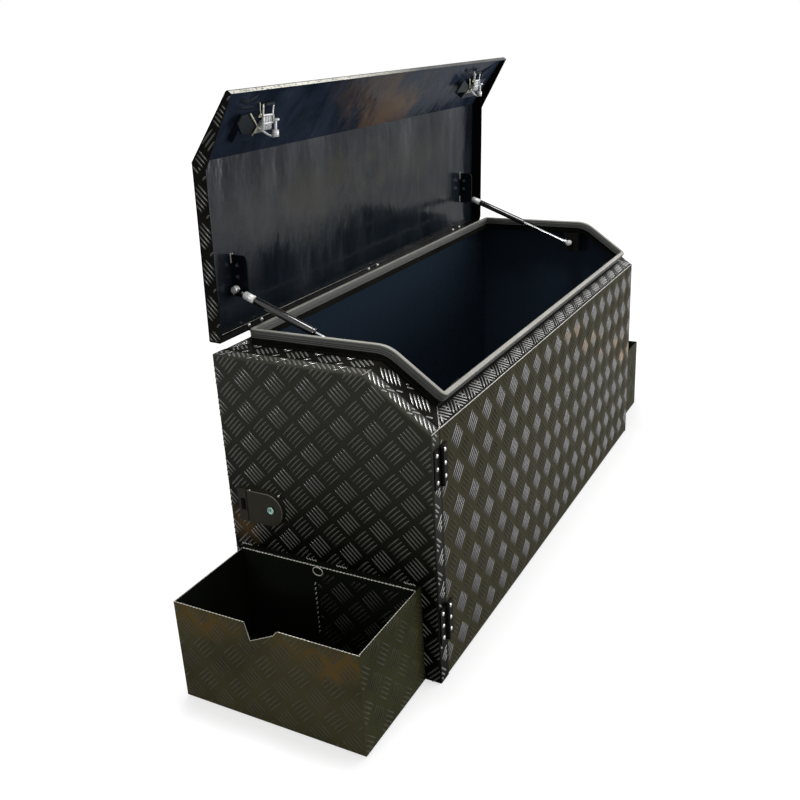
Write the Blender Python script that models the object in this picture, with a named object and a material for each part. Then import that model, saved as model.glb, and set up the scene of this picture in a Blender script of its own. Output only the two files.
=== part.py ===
"""Checker plate toolbox: a black steel job box with a sloped front, a gull lid, an end door and two trays.

Lengths are in metres, +Z is up. X runs along the box to the right, Y runs to the rear, and the origin is
the middle of the flat underside. The lid stands open on its gas struts and the end door is closed.

The top of the box is folded once along its length. Places on it are given as (x, s, n): s runs along the
folded top from the fold, positive to the rear, and n stands square to the top, positive outwards.
"""

import math

import bmesh
import bpy
from mathutils import Matrix, Vector

# Sheet and clearances
SHEET = 0.0025
FOLD_RADIUS = 0.0045
SEAT_GAP = 0.0003
CUT_OVERRUN = 0.004

# Body
BODY_LENGTH = 1.200
BODY_WIDTH = 0.436
BODY_HEIGHT = 0.580
FOLD_Y = -0.095
SLOPE = math.radians(36.0)
END_LEG = 0.012

# Raised rim around the top opening
RIM_HEIGHT = 0.024
RIM_FROM_FRONT = 0.033
RIM_FROM_REAR = 0.032
RIM_FROM_END = 0.048

# Seals on the rim and on the door lip
SEAL_CHEEK = 0.004
SEAL_SKIRT = 0.012
SEAL_CROWN = 0.0055

# Lid
LID_RISE = 0.033
LID_END_INSET = 0.005
LID_SLOPED = 0.1517
LID_LIP = 0.012
LID_REAR_FLANGE = 0.026
LID_END_FLANGE = 0.030
LID_TIP_FLANGE = 0.012
LID_END_LAP = 0.0005
LID_OPEN = math.radians(88.05)

# Hinges, one pattern for the lid and the door
HINGE_LENGTH = 0.072
HINGE_LEAF = 0.024
HINGE_PLATE = 0.002
KNUCKLE_RADIUS = 0.004
PIN_RADIUS = 0.002
KNUCKLES = 5
AXIS_RISE = 0.004
LID_HINGE_FROM_END = 0.133
DOOR_HINGE_HIGH = 0.424
DOOR_HINGE_LOW = 0.117

# End door, its opening and the lip around it
DOOR_DEPTH = 0.031
DOOR_GAP = 0.0005
OPENING_FROM_SIDE = 0.023
OPENING_LOW = 0.035
OPENING_HIGH = 0.455
DOOR_LIP = 0.018

# End trays
TRAY_DEPTH = 0.199
TRAY_FROM_SIDE = 0.031
TRAY_LOW = 0.003
TRAY_HIGH = 0.200
TRAY_STANDOFF = 0.018
NOTCH_LOW = 0.166
NOTCH_MID = 0.190
NOTCH_SIDE = 0.035
NOTCH_TOE = 0.027
NOTCH_HEEL = -0.022
NOTCH_END = -0.031

# Gas struts and their brackets
STRUT_FROM_END = 0.076
STUD_REACH = 0.0873
STUD_DROP = 0.0125
FOOT_Y = -0.066
FOOT_DROP = 0.0244
SOCKET_RADIUS = 0.0065
SOCKET_LENGTH = 0.013
STUD_RADIUS = 0.0035
NECK_RADIUS = 0.0040
COLLAR_RADIUS = 0.0060
COLLAR_START = 0.028
TUBE_RADIUS = 0.0075
TUBE_START = 0.046
TUBE_END = 0.184
TUBE_CHAMFER = 0.0012
TUBE_WALL_END = 0.006
ROD_RADIUS = 0.003
ROD_TAIL = 0.012
ROD_NECK = 0.0205
LID_BRACKET_PLATE = 0.003
LID_BRACKET_FROM_END = 0.088
LID_BRACKET_NEAR = 0.071
LID_BRACKET_LENGTH = 0.080
LID_BRACKET_DEPTH = 0.035
LID_BRACKET_CORNER = 0.010
LID_BRACKET_PITCH = 0.022
LID_BRACKET_HOLE = 0.004
FOOT_PLATE = 0.003
FOOT_FROM_END = 0.0583
FOOT_HALF_WIDTH = 0.021
FOOT_BELOW = 0.0256
FOOT_CORNER = 0.008
FOOT_FLANGE = 0.033

# Lock, one pattern for the door and the lid
LOCK_LENGTH = 0.105
LOCK_RADIUS = 0.0357
LOCK_PLATE = 0.0015
PADDLE_THICK = 0.006
PADDLE_MARGIN = 0.002
PADDLE_SEAM = 0.0820
KEY_RADIUS = 0.006
KEY_FROM_END = 0.0287
KEY_PROUD = 0.001
CASE_START = 0.0124
CASE_END = 0.0974
CASE_HALF_WIDTH = 0.027
DOOR_LOCK_FROM_REAR = 0.1304
DOOR_LOCK_Z = 0.2891
DOOR_CASE_DEPTH = 0.046
TONGUE_NEAR = 0.0345
TONGUE_THICK = 0.008
TONGUE_HALF_WIDTH = 0.010
TONGUE_LENGTH = 0.020
TONGUE_PROUD = 0.001
LID_LOCK_FROM_END = 0.0615
LID_LOCK_S = 0.070
LID_CASE_DEPTH = 0.0145

# Roller catch inside the lid and its keeper on the front rim
CATCH_FROM_END = 0.139
CATCH_FOOT_LOW = 0.060
CATCH_FOOT_HIGH = 0.0865
CATCH_FOOT_HALF = 0.0115
CATCH_FOOT_THICK = 0.003
CATCH_BLOCK_LOW = 0.076
CATCH_BLOCK_HIGH = 0.095
CATCH_BLOCK_HALF = 0.006
CATCH_BLOCK_TOP = 0.029
CATCH_RIBS = 4
CATCH_RIB_DEPTH = 0.0012
CATCH_PIVOT_S = 0.087
CATCH_PIVOT_OFF = 0.022
CATCH_PIN_RADIUS = 0.0022
FORK_PLATE = 0.003
FORK_BOSS = 0.0055
FORK_CLEAR = 0.0006
ROLLER_S = 0.117
ROLLER_OFF = 0.0075
ROLLER_RADIUS = 0.003
BOLT_RADIUS = 0.003
BOLT_HEAD_HALF = 0.0065
BOLT_HEAD_THICK = 0.003
BOLT_TOP_S = 0.100
BOLT_TOP_OFF = 0.033
BOLT_END_S = 0.081
BOLT_END_OFF = 0.054
KEEPER_HALF = 0.018
KEEPER_PLATE = 0.0025
KEEPER_TOP = 0.0112
KEEPER_LOW = -0.014
KEEPER_LEDGE_TOP = 0.0045
KEEPER_LEDGE = 0.0110

# Resolution
FOLD_STEPS = 3
ROUND_STEPS = 16
CORNER_STEPS = 4
LOCK_STEPS = 14
SHARP_ANGLE = math.radians(32.0)

# Colours, roughness and metallic values
PAINT = ("tread_paint", (0.010, 0.010, 0.011), 0.22, 0.0)
RUBBER = ("seal_rubber", (0.16, 0.165, 0.17), 0.65, 0.0)
ZINC = ("zinc_steel", (0.62, 0.62, 0.60), 0.30, 1.0)
ROD = ("strut_rod_steel", (0.55, 0.55, 0.56), 0.18, 1.0)
TUBE = ("strut_tube_paint", (0.016, 0.016, 0.017), 0.25, 0.0)
LOCK = ("lock_black", (0.012, 0.012, 0.013), 0.30, 0.0)
BRASS = ("key_barrel_metal", (0.45, 0.44, 0.36), 0.30, 1.0)

# Places worked out from the sizes above
HALF_LENGTH = BODY_LENGTH / 2
HALF_WIDTH = BODY_WIDTH / 2
LID_HINGE_SPACING = HALF_LENGTH - LID_HINGE_FROM_END
STRUT_PLANE = HALF_LENGTH - STRUT_FROM_END
LID_BRACKET_PLANE = HALF_LENGTH - LID_BRACKET_FROM_END
FOOT_PLANE = HALF_LENGTH - FOOT_FROM_END
LID_LOCK_X = HALF_LENGTH - LID_LOCK_FROM_END
CATCH_X = HALF_LENGTH - CATCH_FROM_END
OPENING_HALF_WIDTH = HALF_WIDTH - OPENING_FROM_SIDE
TRAY_HALF_WIDTH = HALF_WIDTH - TRAY_FROM_SIDE
DOOR_LOCK_Y = HALF_WIDTH - DOOR_LOCK_FROM_REAR
COS = math.cos(SLOPE)
SIN = math.sin(SLOPE)
S_FRONT = -(FOLD_Y + HALF_WIDTH) / COS
S_REAR = HALF_WIDTH - FOLD_Y
FRONT_HEIGHT = BODY_HEIGHT + S_FRONT * SIN
RIM_X = HALF_LENGTH - RIM_FROM_END
RIM_S_FRONT = S_FRONT + RIM_FROM_FRONT
RIM_S_REAR = S_REAR - RIM_FROM_REAR
WALL_X = HALF_LENGTH - SHEET
LID_TOP = BODY_HEIGHT + LID_RISE
LID_HALF = HALF_LENGTH - LID_END_INSET
LID_AXIS = Vector((0, HALF_WIDTH + SEAT_GAP + KNUCKLE_RADIUS, BODY_HEIGHT + AXIS_RISE))
LID_CREASE_Y = FOLD_Y - LID_RISE * math.tan(SLOPE / 2)
DOOR_AXIS = Vector((-HALF_LENGTH - DOOR_GAP / 2, -HALF_WIDTH - SEAT_GAP - KNUCKLE_RADIUS, 0))
STUD_CLOSED = Vector((0, LID_AXIS.y - STUD_REACH, LID_TOP - SHEET - STUD_DROP))
FOOT_Z = BODY_HEIGHT - FOOT_DROP
PADDLE_BASE = SEAT_GAP + LOCK_PLATE + SEAT_GAP
PADDLE_TOP = PADDLE_BASE + PADDLE_THICK


def folded(s, n):
    """Return (y, z) of the place s along the folded top of the box and n outwards from it."""
    if s > 0:
        return FOLD_Y + s, BODY_HEIGHT + n
    if s < 0:
        return FOLD_Y + s * COS - n * SIN, BODY_HEIGHT + s * SIN + n * COS
    return FOLD_Y - n * math.tan(SLOPE / 2), BODY_HEIGHT + n


def top_point(x, s, n):
    """Return the place (x, s, n) on the folded top."""
    y, z = folded(s, n)
    return Vector((x, y, z))


def material(values):
    """Return the named material, made on first use."""
    name, colour, roughness, metallic = values
    made = bpy.data.materials.get(name)
    if made is None:
        made = bpy.data.materials.new(name)
        made.use_nodes = True
        shader = made.node_tree.nodes["Principled BSDF"]
        shader.inputs["Base Color"].default_value = (*colour, 1)
        shader.inputs["Roughness"].default_value = roughness
        shader.inputs["Metallic"].default_value = metallic
    return made


def solid(name, points, faces, finish):
    """Make one closed object from points and faces, its faces turned outwards."""
    bm = bmesh.new()
    corners = [bm.verts.new(point) for point in points]
    for face in faces:
        bm.faces.new([corners[index] for index in face])
    bmesh.ops.recalc_face_normals(bm, faces=bm.faces)
    mesh = bpy.data.meshes.new(name)
    bm.to_mesh(mesh)
    bm.free()
    made = bpy.data.objects.new(name, mesh)
    made.data.materials.append(material(finish))
    bpy.context.scene.collection.objects.link(made)
    shade(made)
    return made


def shade(made):
    """Smooth the round stretches and keep the folds sharp."""
    made.data.shade_smooth()
    made.data.set_sharp_from_angle(angle=SHARP_ANGLE)


def loft(name, loops, finish, ring=False):
    """Join loops of equally many points; a ring closes on its first loop, otherwise both ends are capped."""
    count = len(loops[0])
    points = [point for loop in loops for point in loop]
    faces = []
    joins = len(loops) if ring else len(loops) - 1
    for row in range(joins):
        here = row * count
        there = (row + 1) % len(loops) * count
        for column in range(count):
            after = (column + 1) % count
            faces.append((here + column, here + after, there + after, there + column))
    if not ring:
        faces.append(tuple(range(count)))
        faces.append(tuple(range((len(loops) - 1) * count, len(loops) * count)))
    return solid(name, points, faces, finish)


def thick_sheet(name, outer, inner, finish):
    """Close the space between two grids of points that lie one sheet thickness apart."""
    rows = len(outer)
    columns = len(outer[0])
    points = [point for row in outer for point in row] + [point for row in inner for point in row]
    shift = rows * columns
    faces = []
    for row in range(rows - 1):
        for column in range(columns - 1):
            first = row * columns + column
            quad = (first, first + 1, first + columns + 1, first + columns)
            faces.append(quad)
            faces.append(tuple(index + shift for index in quad))
    for row in range(rows - 1):
        for column in (0, columns - 1):
            first = row * columns + column
            faces.append((first, first + columns, first + columns + shift, first + shift))
    for column in range(columns - 1):
        for row in (0, rows - 1):
            first = row * columns + column
            faces.append((first, first + 1, first + 1 + shift, first + shift))
    return solid(name, points, faces, finish)


def block(name, low, high, finish, place=None):
    """Make a box between two corners, set by a matrix if one is given."""
    spans = list(zip(low, high))
    corners = [Vector((x, y, z)) for x in spans[0] for y in spans[1] for z in spans[2]]
    faces = ((0, 1, 3, 2), (4, 6, 7, 5), (0, 4, 5, 1), (2, 3, 7, 6), (0, 2, 6, 4), (1, 5, 7, 3))
    made = solid(name, corners, faces, finish)
    if place is not None:
        made.data.transform(place)
    return made


def prism(name, outline, low, high, finish, place=None):
    """Extrude an outline of (a, b) pairs along the third axis, set by a matrix if one is given."""
    made = loft(name, [[Vector((a, b, level)) for a, b in outline] for level in (low, high)], finish)
    if place is not None:
        made.data.transform(place)
        turn_outwards(made)
    return made


def turned(name, profile, finish, place=None, steps=ROUND_STEPS):
    """Turn a profile of (radius, height) pairs, from axis to axis, around the third axis."""
    points = []
    rings = []
    for radius, height in profile:
        if radius == 0:
            rings.append([len(points)])
            points.append(Vector((0, 0, height)))
            continue
        rings.append(list(range(len(points), len(points) + steps)))
        for step in range(steps):
            angle = 2 * math.pi * step / steps
            points.append(Vector((radius * math.cos(angle), radius * math.sin(angle), height)))
    faces = []
    for lower, upper in zip(rings, rings[1:]):
        for step in range(steps):
            corners = (
                lower[step % len(lower)],
                lower[(step + 1) % len(lower)],
                upper[(step + 1) % len(upper)],
                upper[step % len(upper)],
            )
            faces.append(tuple(dict.fromkeys(corners)))
    made = solid(name, points, faces, finish)
    if place is not None:
        made.data.transform(place)
    return made


def rod(name, start, end, radius, finish, steps=ROUND_STEPS):
    """Make a plain round bar between two places."""
    length = (end - start).length
    place = Matrix.Translation(start) @ (end - start).to_track_quat("Z", "Y").to_matrix().to_4x4()
    return turned(name, [(0, 0), (radius, 0), (radius, length), (0, length)], finish, place, steps)


def turn_outwards(made):
    """Turn all faces outwards after a mirror or a change of frame."""
    bm = bmesh.new()
    bm.from_mesh(made.data)
    bmesh.ops.recalc_face_normals(bm, faces=bm.faces)
    bm.to_mesh(made.data)
    bm.free()
    shade(made)


def combine(made, others, operation):
    """Unite others with an object, or cut them from it, and keep the result as its mesh."""
    for other in others:
        modifier = made.modifiers.new(operation, "BOOLEAN")
        modifier.operation = operation
        modifier.solver = "EXACT"
        modifier.object = other
    graph = bpy.context.evaluated_depsgraph_get()
    mesh = bpy.data.meshes.new_from_object(made.evaluated_get(graph))
    made.modifiers.clear()
    made.data = mesh
    for other in others:
        bpy.data.objects.remove(other)
    bm = bmesh.new()
    bm.from_mesh(made.data)
    bmesh.ops.remove_doubles(bm, verts=bm.verts, dist=SEAT_GAP / 10)
    bm.to_mesh(made.data)
    bm.free()
    shade(made)
    return made


def unite(made, *others):
    """Unite pieces into one closed body."""
    return combine(made, others, "UNION")


def cut(made, *others):
    """Cut pieces out of a body."""
    return combine(made, others, "DIFFERENCE")


def rounded_path(points, radius_left, radius_right):
    """Round the inner corners of an open path; left and right turns have their own radius."""
    path = [points[0]]
    for before, corner, after in zip(points, points[1:], points[2:]):
        arrive = Vector(corner) - Vector(before)
        leave = Vector(after) - Vector(corner)
        arrive.normalize()
        leave.normalize()
        turn = math.atan2(arrive.x * leave.y - arrive.y * leave.x, arrive.dot(leave))
        radius = radius_left if turn > 0 else radius_right
        reach = radius * math.tan(abs(turn) / 2)
        begin = Vector(corner) - arrive * reach
        side = Vector((-arrive.y, arrive.x)) * math.copysign(1, turn)
        centre = begin + side * radius
        for step in range(FOLD_STEPS + 1):
            angle = turn * step / FOLD_STEPS
            spoke = -side * radius
            path.append(centre + Matrix.Rotation(angle, 2) @ spoke)
    path.append(points[-1])
    return [Vector(point) for point in path]


def offset_path(path, distance):
    """Shift an open path to its left by a distance, with mitred corners."""
    directions = [(after - before).normalized() for before, after in zip(path, path[1:])]
    normals = [Vector((-direction.y, direction.x)) for direction in directions]
    shifted = []
    for index, point in enumerate(path):
        before = normals[max(index - 1, 0)]
        after = normals[min(index, len(normals) - 1)]
        mitre = (before + after) / (1 + before.dot(after))
        shifted.append(point + mitre * distance)
    return shifted


def sheet_paths(points):
    """Return the outer and inner faces of a folded sheet whose inside lies to the left of its path."""
    outer = rounded_path(points, FOLD_RADIUS, FOLD_RADIUS - SHEET)
    return outer, offset_path(outer, SHEET)


def inset_outline(outline, distance):
    """Shrink a closed outline that runs anticlockwise by a distance."""
    shrunk = []
    for index, point in enumerate(outline):
        here = Vector(point)
        arrive = (here - Vector(outline[index - 1])).normalized()
        leave = (Vector(outline[(index + 1) % len(outline)]) - here).normalized()
        before = Vector((-arrive.y, arrive.x))
        after = Vector((-leave.y, leave.x))
        shrunk.append(here + (before + after) / (1 + before.dot(after)) * distance)
    return shrunk


def body_outline(top_drop=0):
    """Return the end view of the body, anticlockwise in (y, z), its top lowered square to itself."""
    front_top = FRONT_HEIGHT - top_drop / COS
    fold_y, fold_z = folded(0, -top_drop)
    return [
        (-HALF_WIDTH, 0),
        (HALF_WIDTH, 0),
        (HALF_WIDTH, BODY_HEIGHT - top_drop),
        (fold_y, fold_z),
        (-HALF_WIDTH, front_top),
    ]


def outline_at(x, outline):
    """Place a (y, z) outline at x."""
    return [Vector((x, y, z)) for y, z in outline]


def empty_at(name, place, parent=None):
    """Make an empty that carries a moving piece on its joint's axis."""
    made = bpy.data.objects.new(name, None)
    bpy.context.scene.collection.objects.link(made)
    made.location = place
    made.parent = parent
    return made


def hang(pivot, origin, *pieces):
    """Give pieces the pivot as parent and put their origins on it; origin is its place in their mesh."""
    for piece in pieces:
        piece.data.transform(Matrix.Translation(-origin))
        piece.parent = pivot


def frame_of(origin, first, second, third):
    """Return the matrix of a frame with the given origin and axes."""
    rows = [(first[row], second[row], third[row], origin[row]) for row in range(3)]
    return Matrix((*rows, (0, 0, 0, 1)))


def body_wrap():
    """Fold the front, floor and rear from one sheet, with both long shoulders and their stretch of rim."""
    front = [folded(RIM_S_FRONT, RIM_HEIGHT), folded(RIM_S_FRONT, 0), folded(S_FRONT, 0)]
    base = [(-HALF_WIDTH, 0), (HALF_WIDTH, 0)]
    rear = [folded(S_REAR, 0), folded(RIM_S_REAR, 0), folded(RIM_S_REAR, RIM_HEIGHT)]
    outer, inner = sheet_paths(front + base + rear)
    mitre_gap = 2 * SEAT_GAP

    def half_length(y, z):
        """Return how far the sheet runs along X: the shoulders are mitred back to the rim's corners."""
        full = WALL_X - mitre_gap
        if z < FRONT_HEIGHT - SHEET:
            return full
        if y > FOLD_Y:
            past = max(S_REAR - (y - FOLD_Y), 0)
            return full - past * (WALL_X - RIM_X) / RIM_FROM_REAR
        along = (y - FOLD_Y) * COS + (z - BODY_HEIGHT) * SIN
        past = max(along - S_FRONT, 0)
        return full - past * (WALL_X - RIM_X) / RIM_FROM_FRONT

    def rows(path):
        """Return the path's points at both ends of the sheet."""
        made = []
        for point in path:
            half = half_length(point.x, point.y)
            made.append([Vector((-half, *point)), Vector((half, *point))])
        return made

    return thick_sheet("body_wrap", rows(outer), rows(inner), PAINT)


def end_top(name, side):
    """Fold an end's shoulder, rim and short leg over the fold of the top, mitred at both ends."""
    points = [(HALF_LENGTH, -END_LEG), (HALF_LENGTH, 0), (RIM_X, 0), (RIM_X, RIM_HEIGHT)]
    outer, inner = sheet_paths(points)

    def row(x, n):
        """Return one cross line of the strip, from the front mitre over the fold to the rear mitre."""
        past = max(WALL_X - x, 0) / (WALL_X - RIM_X)
        drop = n * math.tan(SLOPE) if x >= WALL_X else 0
        low = S_FRONT + past * RIM_FROM_FRONT + drop
        high = S_REAR - past * RIM_FROM_REAR
        return [top_point(side * x, s, n) for s in (low, 0, high)]

    return thick_sheet(name, [row(*point) for point in outer], [row(*point) for point in inner], PAINT)


def end_wall(name, side):
    """Make an end wall with its folded top: one plate over the full end view."""
    wall = end_top(name, side)
    outline = body_outline(END_LEG / 2)
    low, high = sorted((side * WALL_X, side * HALF_LENGTH))
    plate = loft("wall_plate", [outline_at(low, outline), outline_at(high, outline)], PAINT)
    return unite(wall, plate)


def opening_loop(x, grow):
    """Return the door opening's corners at x, grown by a distance."""
    half = OPENING_HALF_WIDTH + grow
    low = OPENING_LOW - grow
    high = OPENING_HIGH + grow
    return [Vector((x, y, z)) for y, z in ((-half, low), (half, low), (half, high), (-half, high))]


def left_end_frame():
    """Make the left end wall with the door opening and the lip that carries the door's seal."""
    frame = end_wall("left_end_frame", -1)
    hole = loft(
        "opening_cutter",
        [opening_loop(x, SHEET / 2) for x in (-HALF_LENGTH - CUT_OVERRUN, -WALL_X + CUT_OVERRUN)],
        PAINT,
    )
    cut(frame, hole)
    edge = -HALF_LENGTH - DOOR_LIP
    section = ((edge, 0), (edge, SHEET), (-WALL_X, SHEET), (-WALL_X, 0))
    lip = loft("lip", [opening_loop(x, grow) for x, grow in section], PAINT, ring=True)
    return unite(frame, lip)


def seal_section(edge, crown):
    """Return a seal's section as (side, height) pairs around a sheet edge; side runs to the sheet's back."""
    slot = edge + SEAT_GAP
    outside = SEAT_GAP + SEAL_CHEEK
    inside = -SHEET - SEAT_GAP - SEAL_CHEEK
    low = edge - SEAL_SKIRT
    top = edge + crown
    round_off = SEAL_CHEEK / 2
    return [
        (outside, low),
        (outside, top - round_off),
        (outside - round_off, top),
        (inside + round_off, top),
        (inside, top - round_off),
        (inside, low),
        (-SHEET - SEAT_GAP, low),
        (-SHEET - SEAT_GAP, slot),
        (SEAT_GAP, slot),
        (SEAT_GAP, low),
    ]


def rim_seal():
    """Run the seal around the rim's edge, over the fold of the top."""
    loops = []
    for side, height in seal_section(RIM_HEIGHT, SEAL_CROWN):
        x = RIM_X + side
        low = RIM_S_FRONT - side
        high = RIM_S_REAR + side
        corners = ((-x, low), (x, low), (x, 0), (x, high), (-x, high), (-x, 0))
        loops.append([top_point(across, s, height) for across, s in corners])
    return loft("rim_seal", loops, RUBBER, ring=True)


def door_seal():
    """Run the seal around the door lip's edge, up to the door's inner face."""
    crown = DOOR_DEPTH - SHEET - SEAT_GAP - DOOR_LIP
    loops = []
    for side, height in seal_section(DOOR_LIP, crown):
        loops.append(opening_loop(-HALF_LENGTH - height, side + SHEET))
    return loft("door_seal", loops, RUBBER, ring=True)


def tray(name, side):
    """Make an end tray: an open box on a rear wall whose top and side flanges stand it off its carrier."""
    face = DOOR_DEPTH + HALF_LENGTH if side < 0 else HALF_LENGTH
    start = face + SEAT_GAP
    back = face + TRAY_STANDOFF
    front = back + TRAY_DEPTH

    def piece(label, near, far, half_low, half_high, low, high):
        """Return a box between two distances from the middle of the toolbox."""
        x_low, x_high = sorted((side * near, side * far))
        return block(label, (x_low, half_low, low), (x_high, half_high, high), PAINT)

    half = TRAY_HALF_WIDTH
    inner = half - SHEET
    made = piece(name, back, front, -half, half, TRAY_LOW, TRAY_HIGH)
    hollow = piece(
        "tray_cutter", back + SHEET, front - SHEET, -inner, inner, TRAY_LOW + SHEET, TRAY_HIGH + CUT_OVERRUN
    )
    cut(made, hollow)
    lap = back + SHEET
    unite(
        made,
        piece("top_flange", start, lap, -half, half, TRAY_HIGH - SHEET, TRAY_HIGH),
        piece("front_flange", start, lap, -half, -inner, TRAY_LOW, TRAY_HIGH),
        piece("rear_flange", start, lap, inner, half, TRAY_LOW, TRAY_HIGH),
    )
    over = TRAY_HIGH + CUT_OVERRUN
    notch = [
        (NOTCH_SIDE, over),
        (NOTCH_TOE, NOTCH_LOW),
        (NOTCH_HEEL, NOTCH_MID),
        (NOTCH_END, over),
    ]
    low, high = sorted((side * (front - CUT_OVERRUN), side * (front + CUT_OVERRUN)))
    cutter = loft("notch_cutter", [outline_at(low, notch), outline_at(high, notch)], PAINT)
    return cut(made, cutter)


def hinge_leaf(name, centre, along, across, outwards, own, finish, pin):
    """Make one hinge leaf: a plate, its own knuckles and either the pin or the bore for it."""
    frame = frame_of(centre, across, outwards, along)
    half = HINGE_LENGTH / 2
    step = HINGE_LENGTH / KNUCKLES
    plate_low = -KNUCKLE_RADIUS
    plate_high = plate_low + HINGE_PLATE
    start = KNUCKLE_RADIUS + SEAT_GAP
    leaf = block(name, (start, plate_low, -half), (HINGE_LEAF, plate_high, half), finish, frame)
    pieces = []
    for index in own:
        low = -half + index * step
        high = low + step
        low = low + SEAT_GAP / 2 if index > 0 else low
        high = high - SEAT_GAP / 2 if index < KNUCKLES - 1 else high
        tab_end = start + HINGE_PLATE
        pieces.append(block("tab", (0, plate_low, low), (tab_end, plate_high, high), finish, frame))
        bead = [(0, low), (KNUCKLE_RADIUS, low), (KNUCKLE_RADIUS, high), (0, high)]
        pieces.append(turned("knuckle", bead, finish, frame))
    unite(leaf, *pieces)
    radius = PIN_RADIUS if pin else PIN_RADIUS + SEAT_GAP
    reach = half if pin else half + CUT_OVERRUN
    bar = turned("pin", [(0, -reach), (radius, -reach), (radius, reach), (0, reach)], finish, frame)
    turn_outwards(bar)
    if pin:
        return unite(leaf, bar)
    return cut(leaf, bar)


FIXED_KNUCKLES = (0, 2, 4)
MOVING_KNUCKLES = (1, 3)
X_AXIS = Vector((1, 0, 0))
Y_AXIS = Vector((0, 1, 0))
Z_AXIS = Vector((0, 0, 1))


def lid_panel():
    """Fold the lid from one sheet and give it its two tapering end flanges."""
    tip_y = LID_CREASE_Y - LID_SLOPED * COS
    tip_z = LID_TOP - LID_SLOPED * SIN
    points = [
        (HALF_WIDTH, LID_TOP - LID_REAR_FLANGE),
        (HALF_WIDTH, LID_TOP),
        (LID_CREASE_Y, LID_TOP),
        (tip_y, tip_z),
        (tip_y + LID_LIP * SIN, tip_z - LID_LIP * COS),
    ]
    outer, inner = sheet_paths(points)

    def rows(path):
        """Return the path's points at both ends of the lid."""
        return [[Vector((-LID_HALF, *point)), Vector((LID_HALF, *point))] for point in path]

    panel = thick_sheet("lid_panel", rows(outer), rows(inner), PAINT)
    lap = SHEET / 2
    crease = (LID_CREASE_Y + lap * math.tan(SLOPE / 2), LID_TOP - lap)
    depth = LID_END_FLANGE
    low_crease = (LID_CREASE_Y + depth * math.tan(SLOPE / 2), LID_TOP - depth)
    start = HALF_WIDTH - lap
    near = LID_SLOPED - lap
    outline = [
        (start, LID_TOP - lap),
        crease,
        (LID_CREASE_Y - near * COS + lap * SIN, LID_TOP - near * SIN - lap * COS),
        (LID_CREASE_Y - near * COS + LID_TIP_FLANGE * SIN, LID_TOP - near * SIN - LID_TIP_FLANGE * COS),
        low_crease,
        (start - LID_REAR_FLANGE / 2, LID_TOP - depth),
        (start, LID_TOP - LID_REAR_FLANGE),
    ]
    outer_x = LID_HALF - LID_END_LAP
    ends = []
    for side in (-1, 1):
        xs = (side * outer_x, side * (outer_x - SHEET))
        ends.append(loft("end_flange", [outline_at(x, outline) for x in xs], PAINT))
    unite(panel, *ends)
    cutters = []
    for side in (-1, 1):
        frame = lid_lock_frame(side)
        cutters.append(case_block("case_cutter", frame, SHEET + CUT_OVERRUN, CUT_OVERRUN, SEAT_GAP))
    return cut(panel, *cutters)


def lid_slope_frame():
    """Return the frame on the sloped panel's inner face at the crease: X, towards the tip, inwards."""
    towards_tip = Vector((0, -COS, -SIN))
    inwards = Vector((0, SIN, -COS))
    crease = Vector((0, LID_CREASE_Y, LID_TOP))
    return frame_of(crease + inwards * SHEET, X_AXIS, towards_tip, inwards)


def lid_lock_frame(side):
    """Return a lid lock's frame on the outer face: from its round end inboard, across, outwards."""
    slope = lid_slope_frame()
    place = slope @ Vector((side * LID_LOCK_X, LID_LOCK_S, -SHEET))
    inboard = X_AXIS * -side
    outwards = -slope.col[2].to_3d()
    return frame_of(place, inboard, outwards.cross(inboard), outwards)


def door_lock_frame():
    """Return the door lock's frame on the door's outer face: from its round end to the rear, up, outwards."""
    place = Vector((-HALF_LENGTH - DOOR_DEPTH, DOOR_LOCK_Y, DOOR_LOCK_Z))
    return frame_of(place, Y_AXIS, -Z_AXIS, -X_AXIS)


def lock_outline(start, end, radius):
    """Return a plate outline that is round at its start and square at its end."""
    centre = start + radius
    outline = []
    for step in range(LOCK_STEPS + 1):
        angle = math.pi / 2 + math.pi * step / LOCK_STEPS
        outline.append((centre + radius * math.cos(angle), radius * math.sin(angle)))
    outline.append((end, -radius))
    outline.append((end, radius))
    return outline


def case_block(name, frame, depth, height, grow):
    """Return the block of a lock's case, or the cutter for it when it is grown."""
    low = (CASE_START - grow, -CASE_HALF_WIDTH - grow, -depth)
    high = (CASE_END + grow, CASE_HALF_WIDTH + grow, height)
    made = block(name, low, high, LOCK, frame)
    turn_outwards(made)
    return made


def lock_case(name, frame, depth):
    """Make a lock's case: the plate on the outer face and the block that passes through the sheet."""
    outline = lock_outline(0, LOCK_LENGTH, LOCK_RADIUS)
    case = prism(name, outline, SEAT_GAP, SEAT_GAP + LOCK_PLATE, LOCK, frame)
    stem = case_block("stem", frame, depth, SEAT_GAP + LOCK_PLATE / 2, 0)
    inner = LOCK_RADIUS - PADDLE_MARGIN
    pad_low = (PADDLE_SEAM + SEAT_GAP, -inner, SEAT_GAP + LOCK_PLATE / 2)
    pad = block("pad", pad_low, (LOCK_LENGTH - PADDLE_MARGIN, inner, PADDLE_TOP), LOCK, frame)
    turn_outwards(pad)
    return unite(case, stem, pad)


def lock_paddle(name, frame, key_hole):
    """Make a lock's paddle, round at its free end, with a hole for the key barrel where it has one."""
    low = PADDLE_BASE
    high = PADDLE_TOP
    outline = lock_outline(PADDLE_MARGIN, PADDLE_SEAM - SEAT_GAP, LOCK_RADIUS - PADDLE_MARGIN)
    paddle = prism(name, outline, low, high, LOCK, frame)
    if not key_hole:
        return paddle
    radius = KEY_RADIUS + SEAT_GAP
    start = low - CUT_OVERRUN
    end = high + CUT_OVERRUN
    profile = [(0, start), (radius, start), (radius, end), (0, end)]
    hole = turned("key_cutter", profile, LOCK, frame @ Matrix.Translation((KEY_FROM_END, 0, 0)))
    turn_outwards(hole)
    return cut(paddle, hole)


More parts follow.
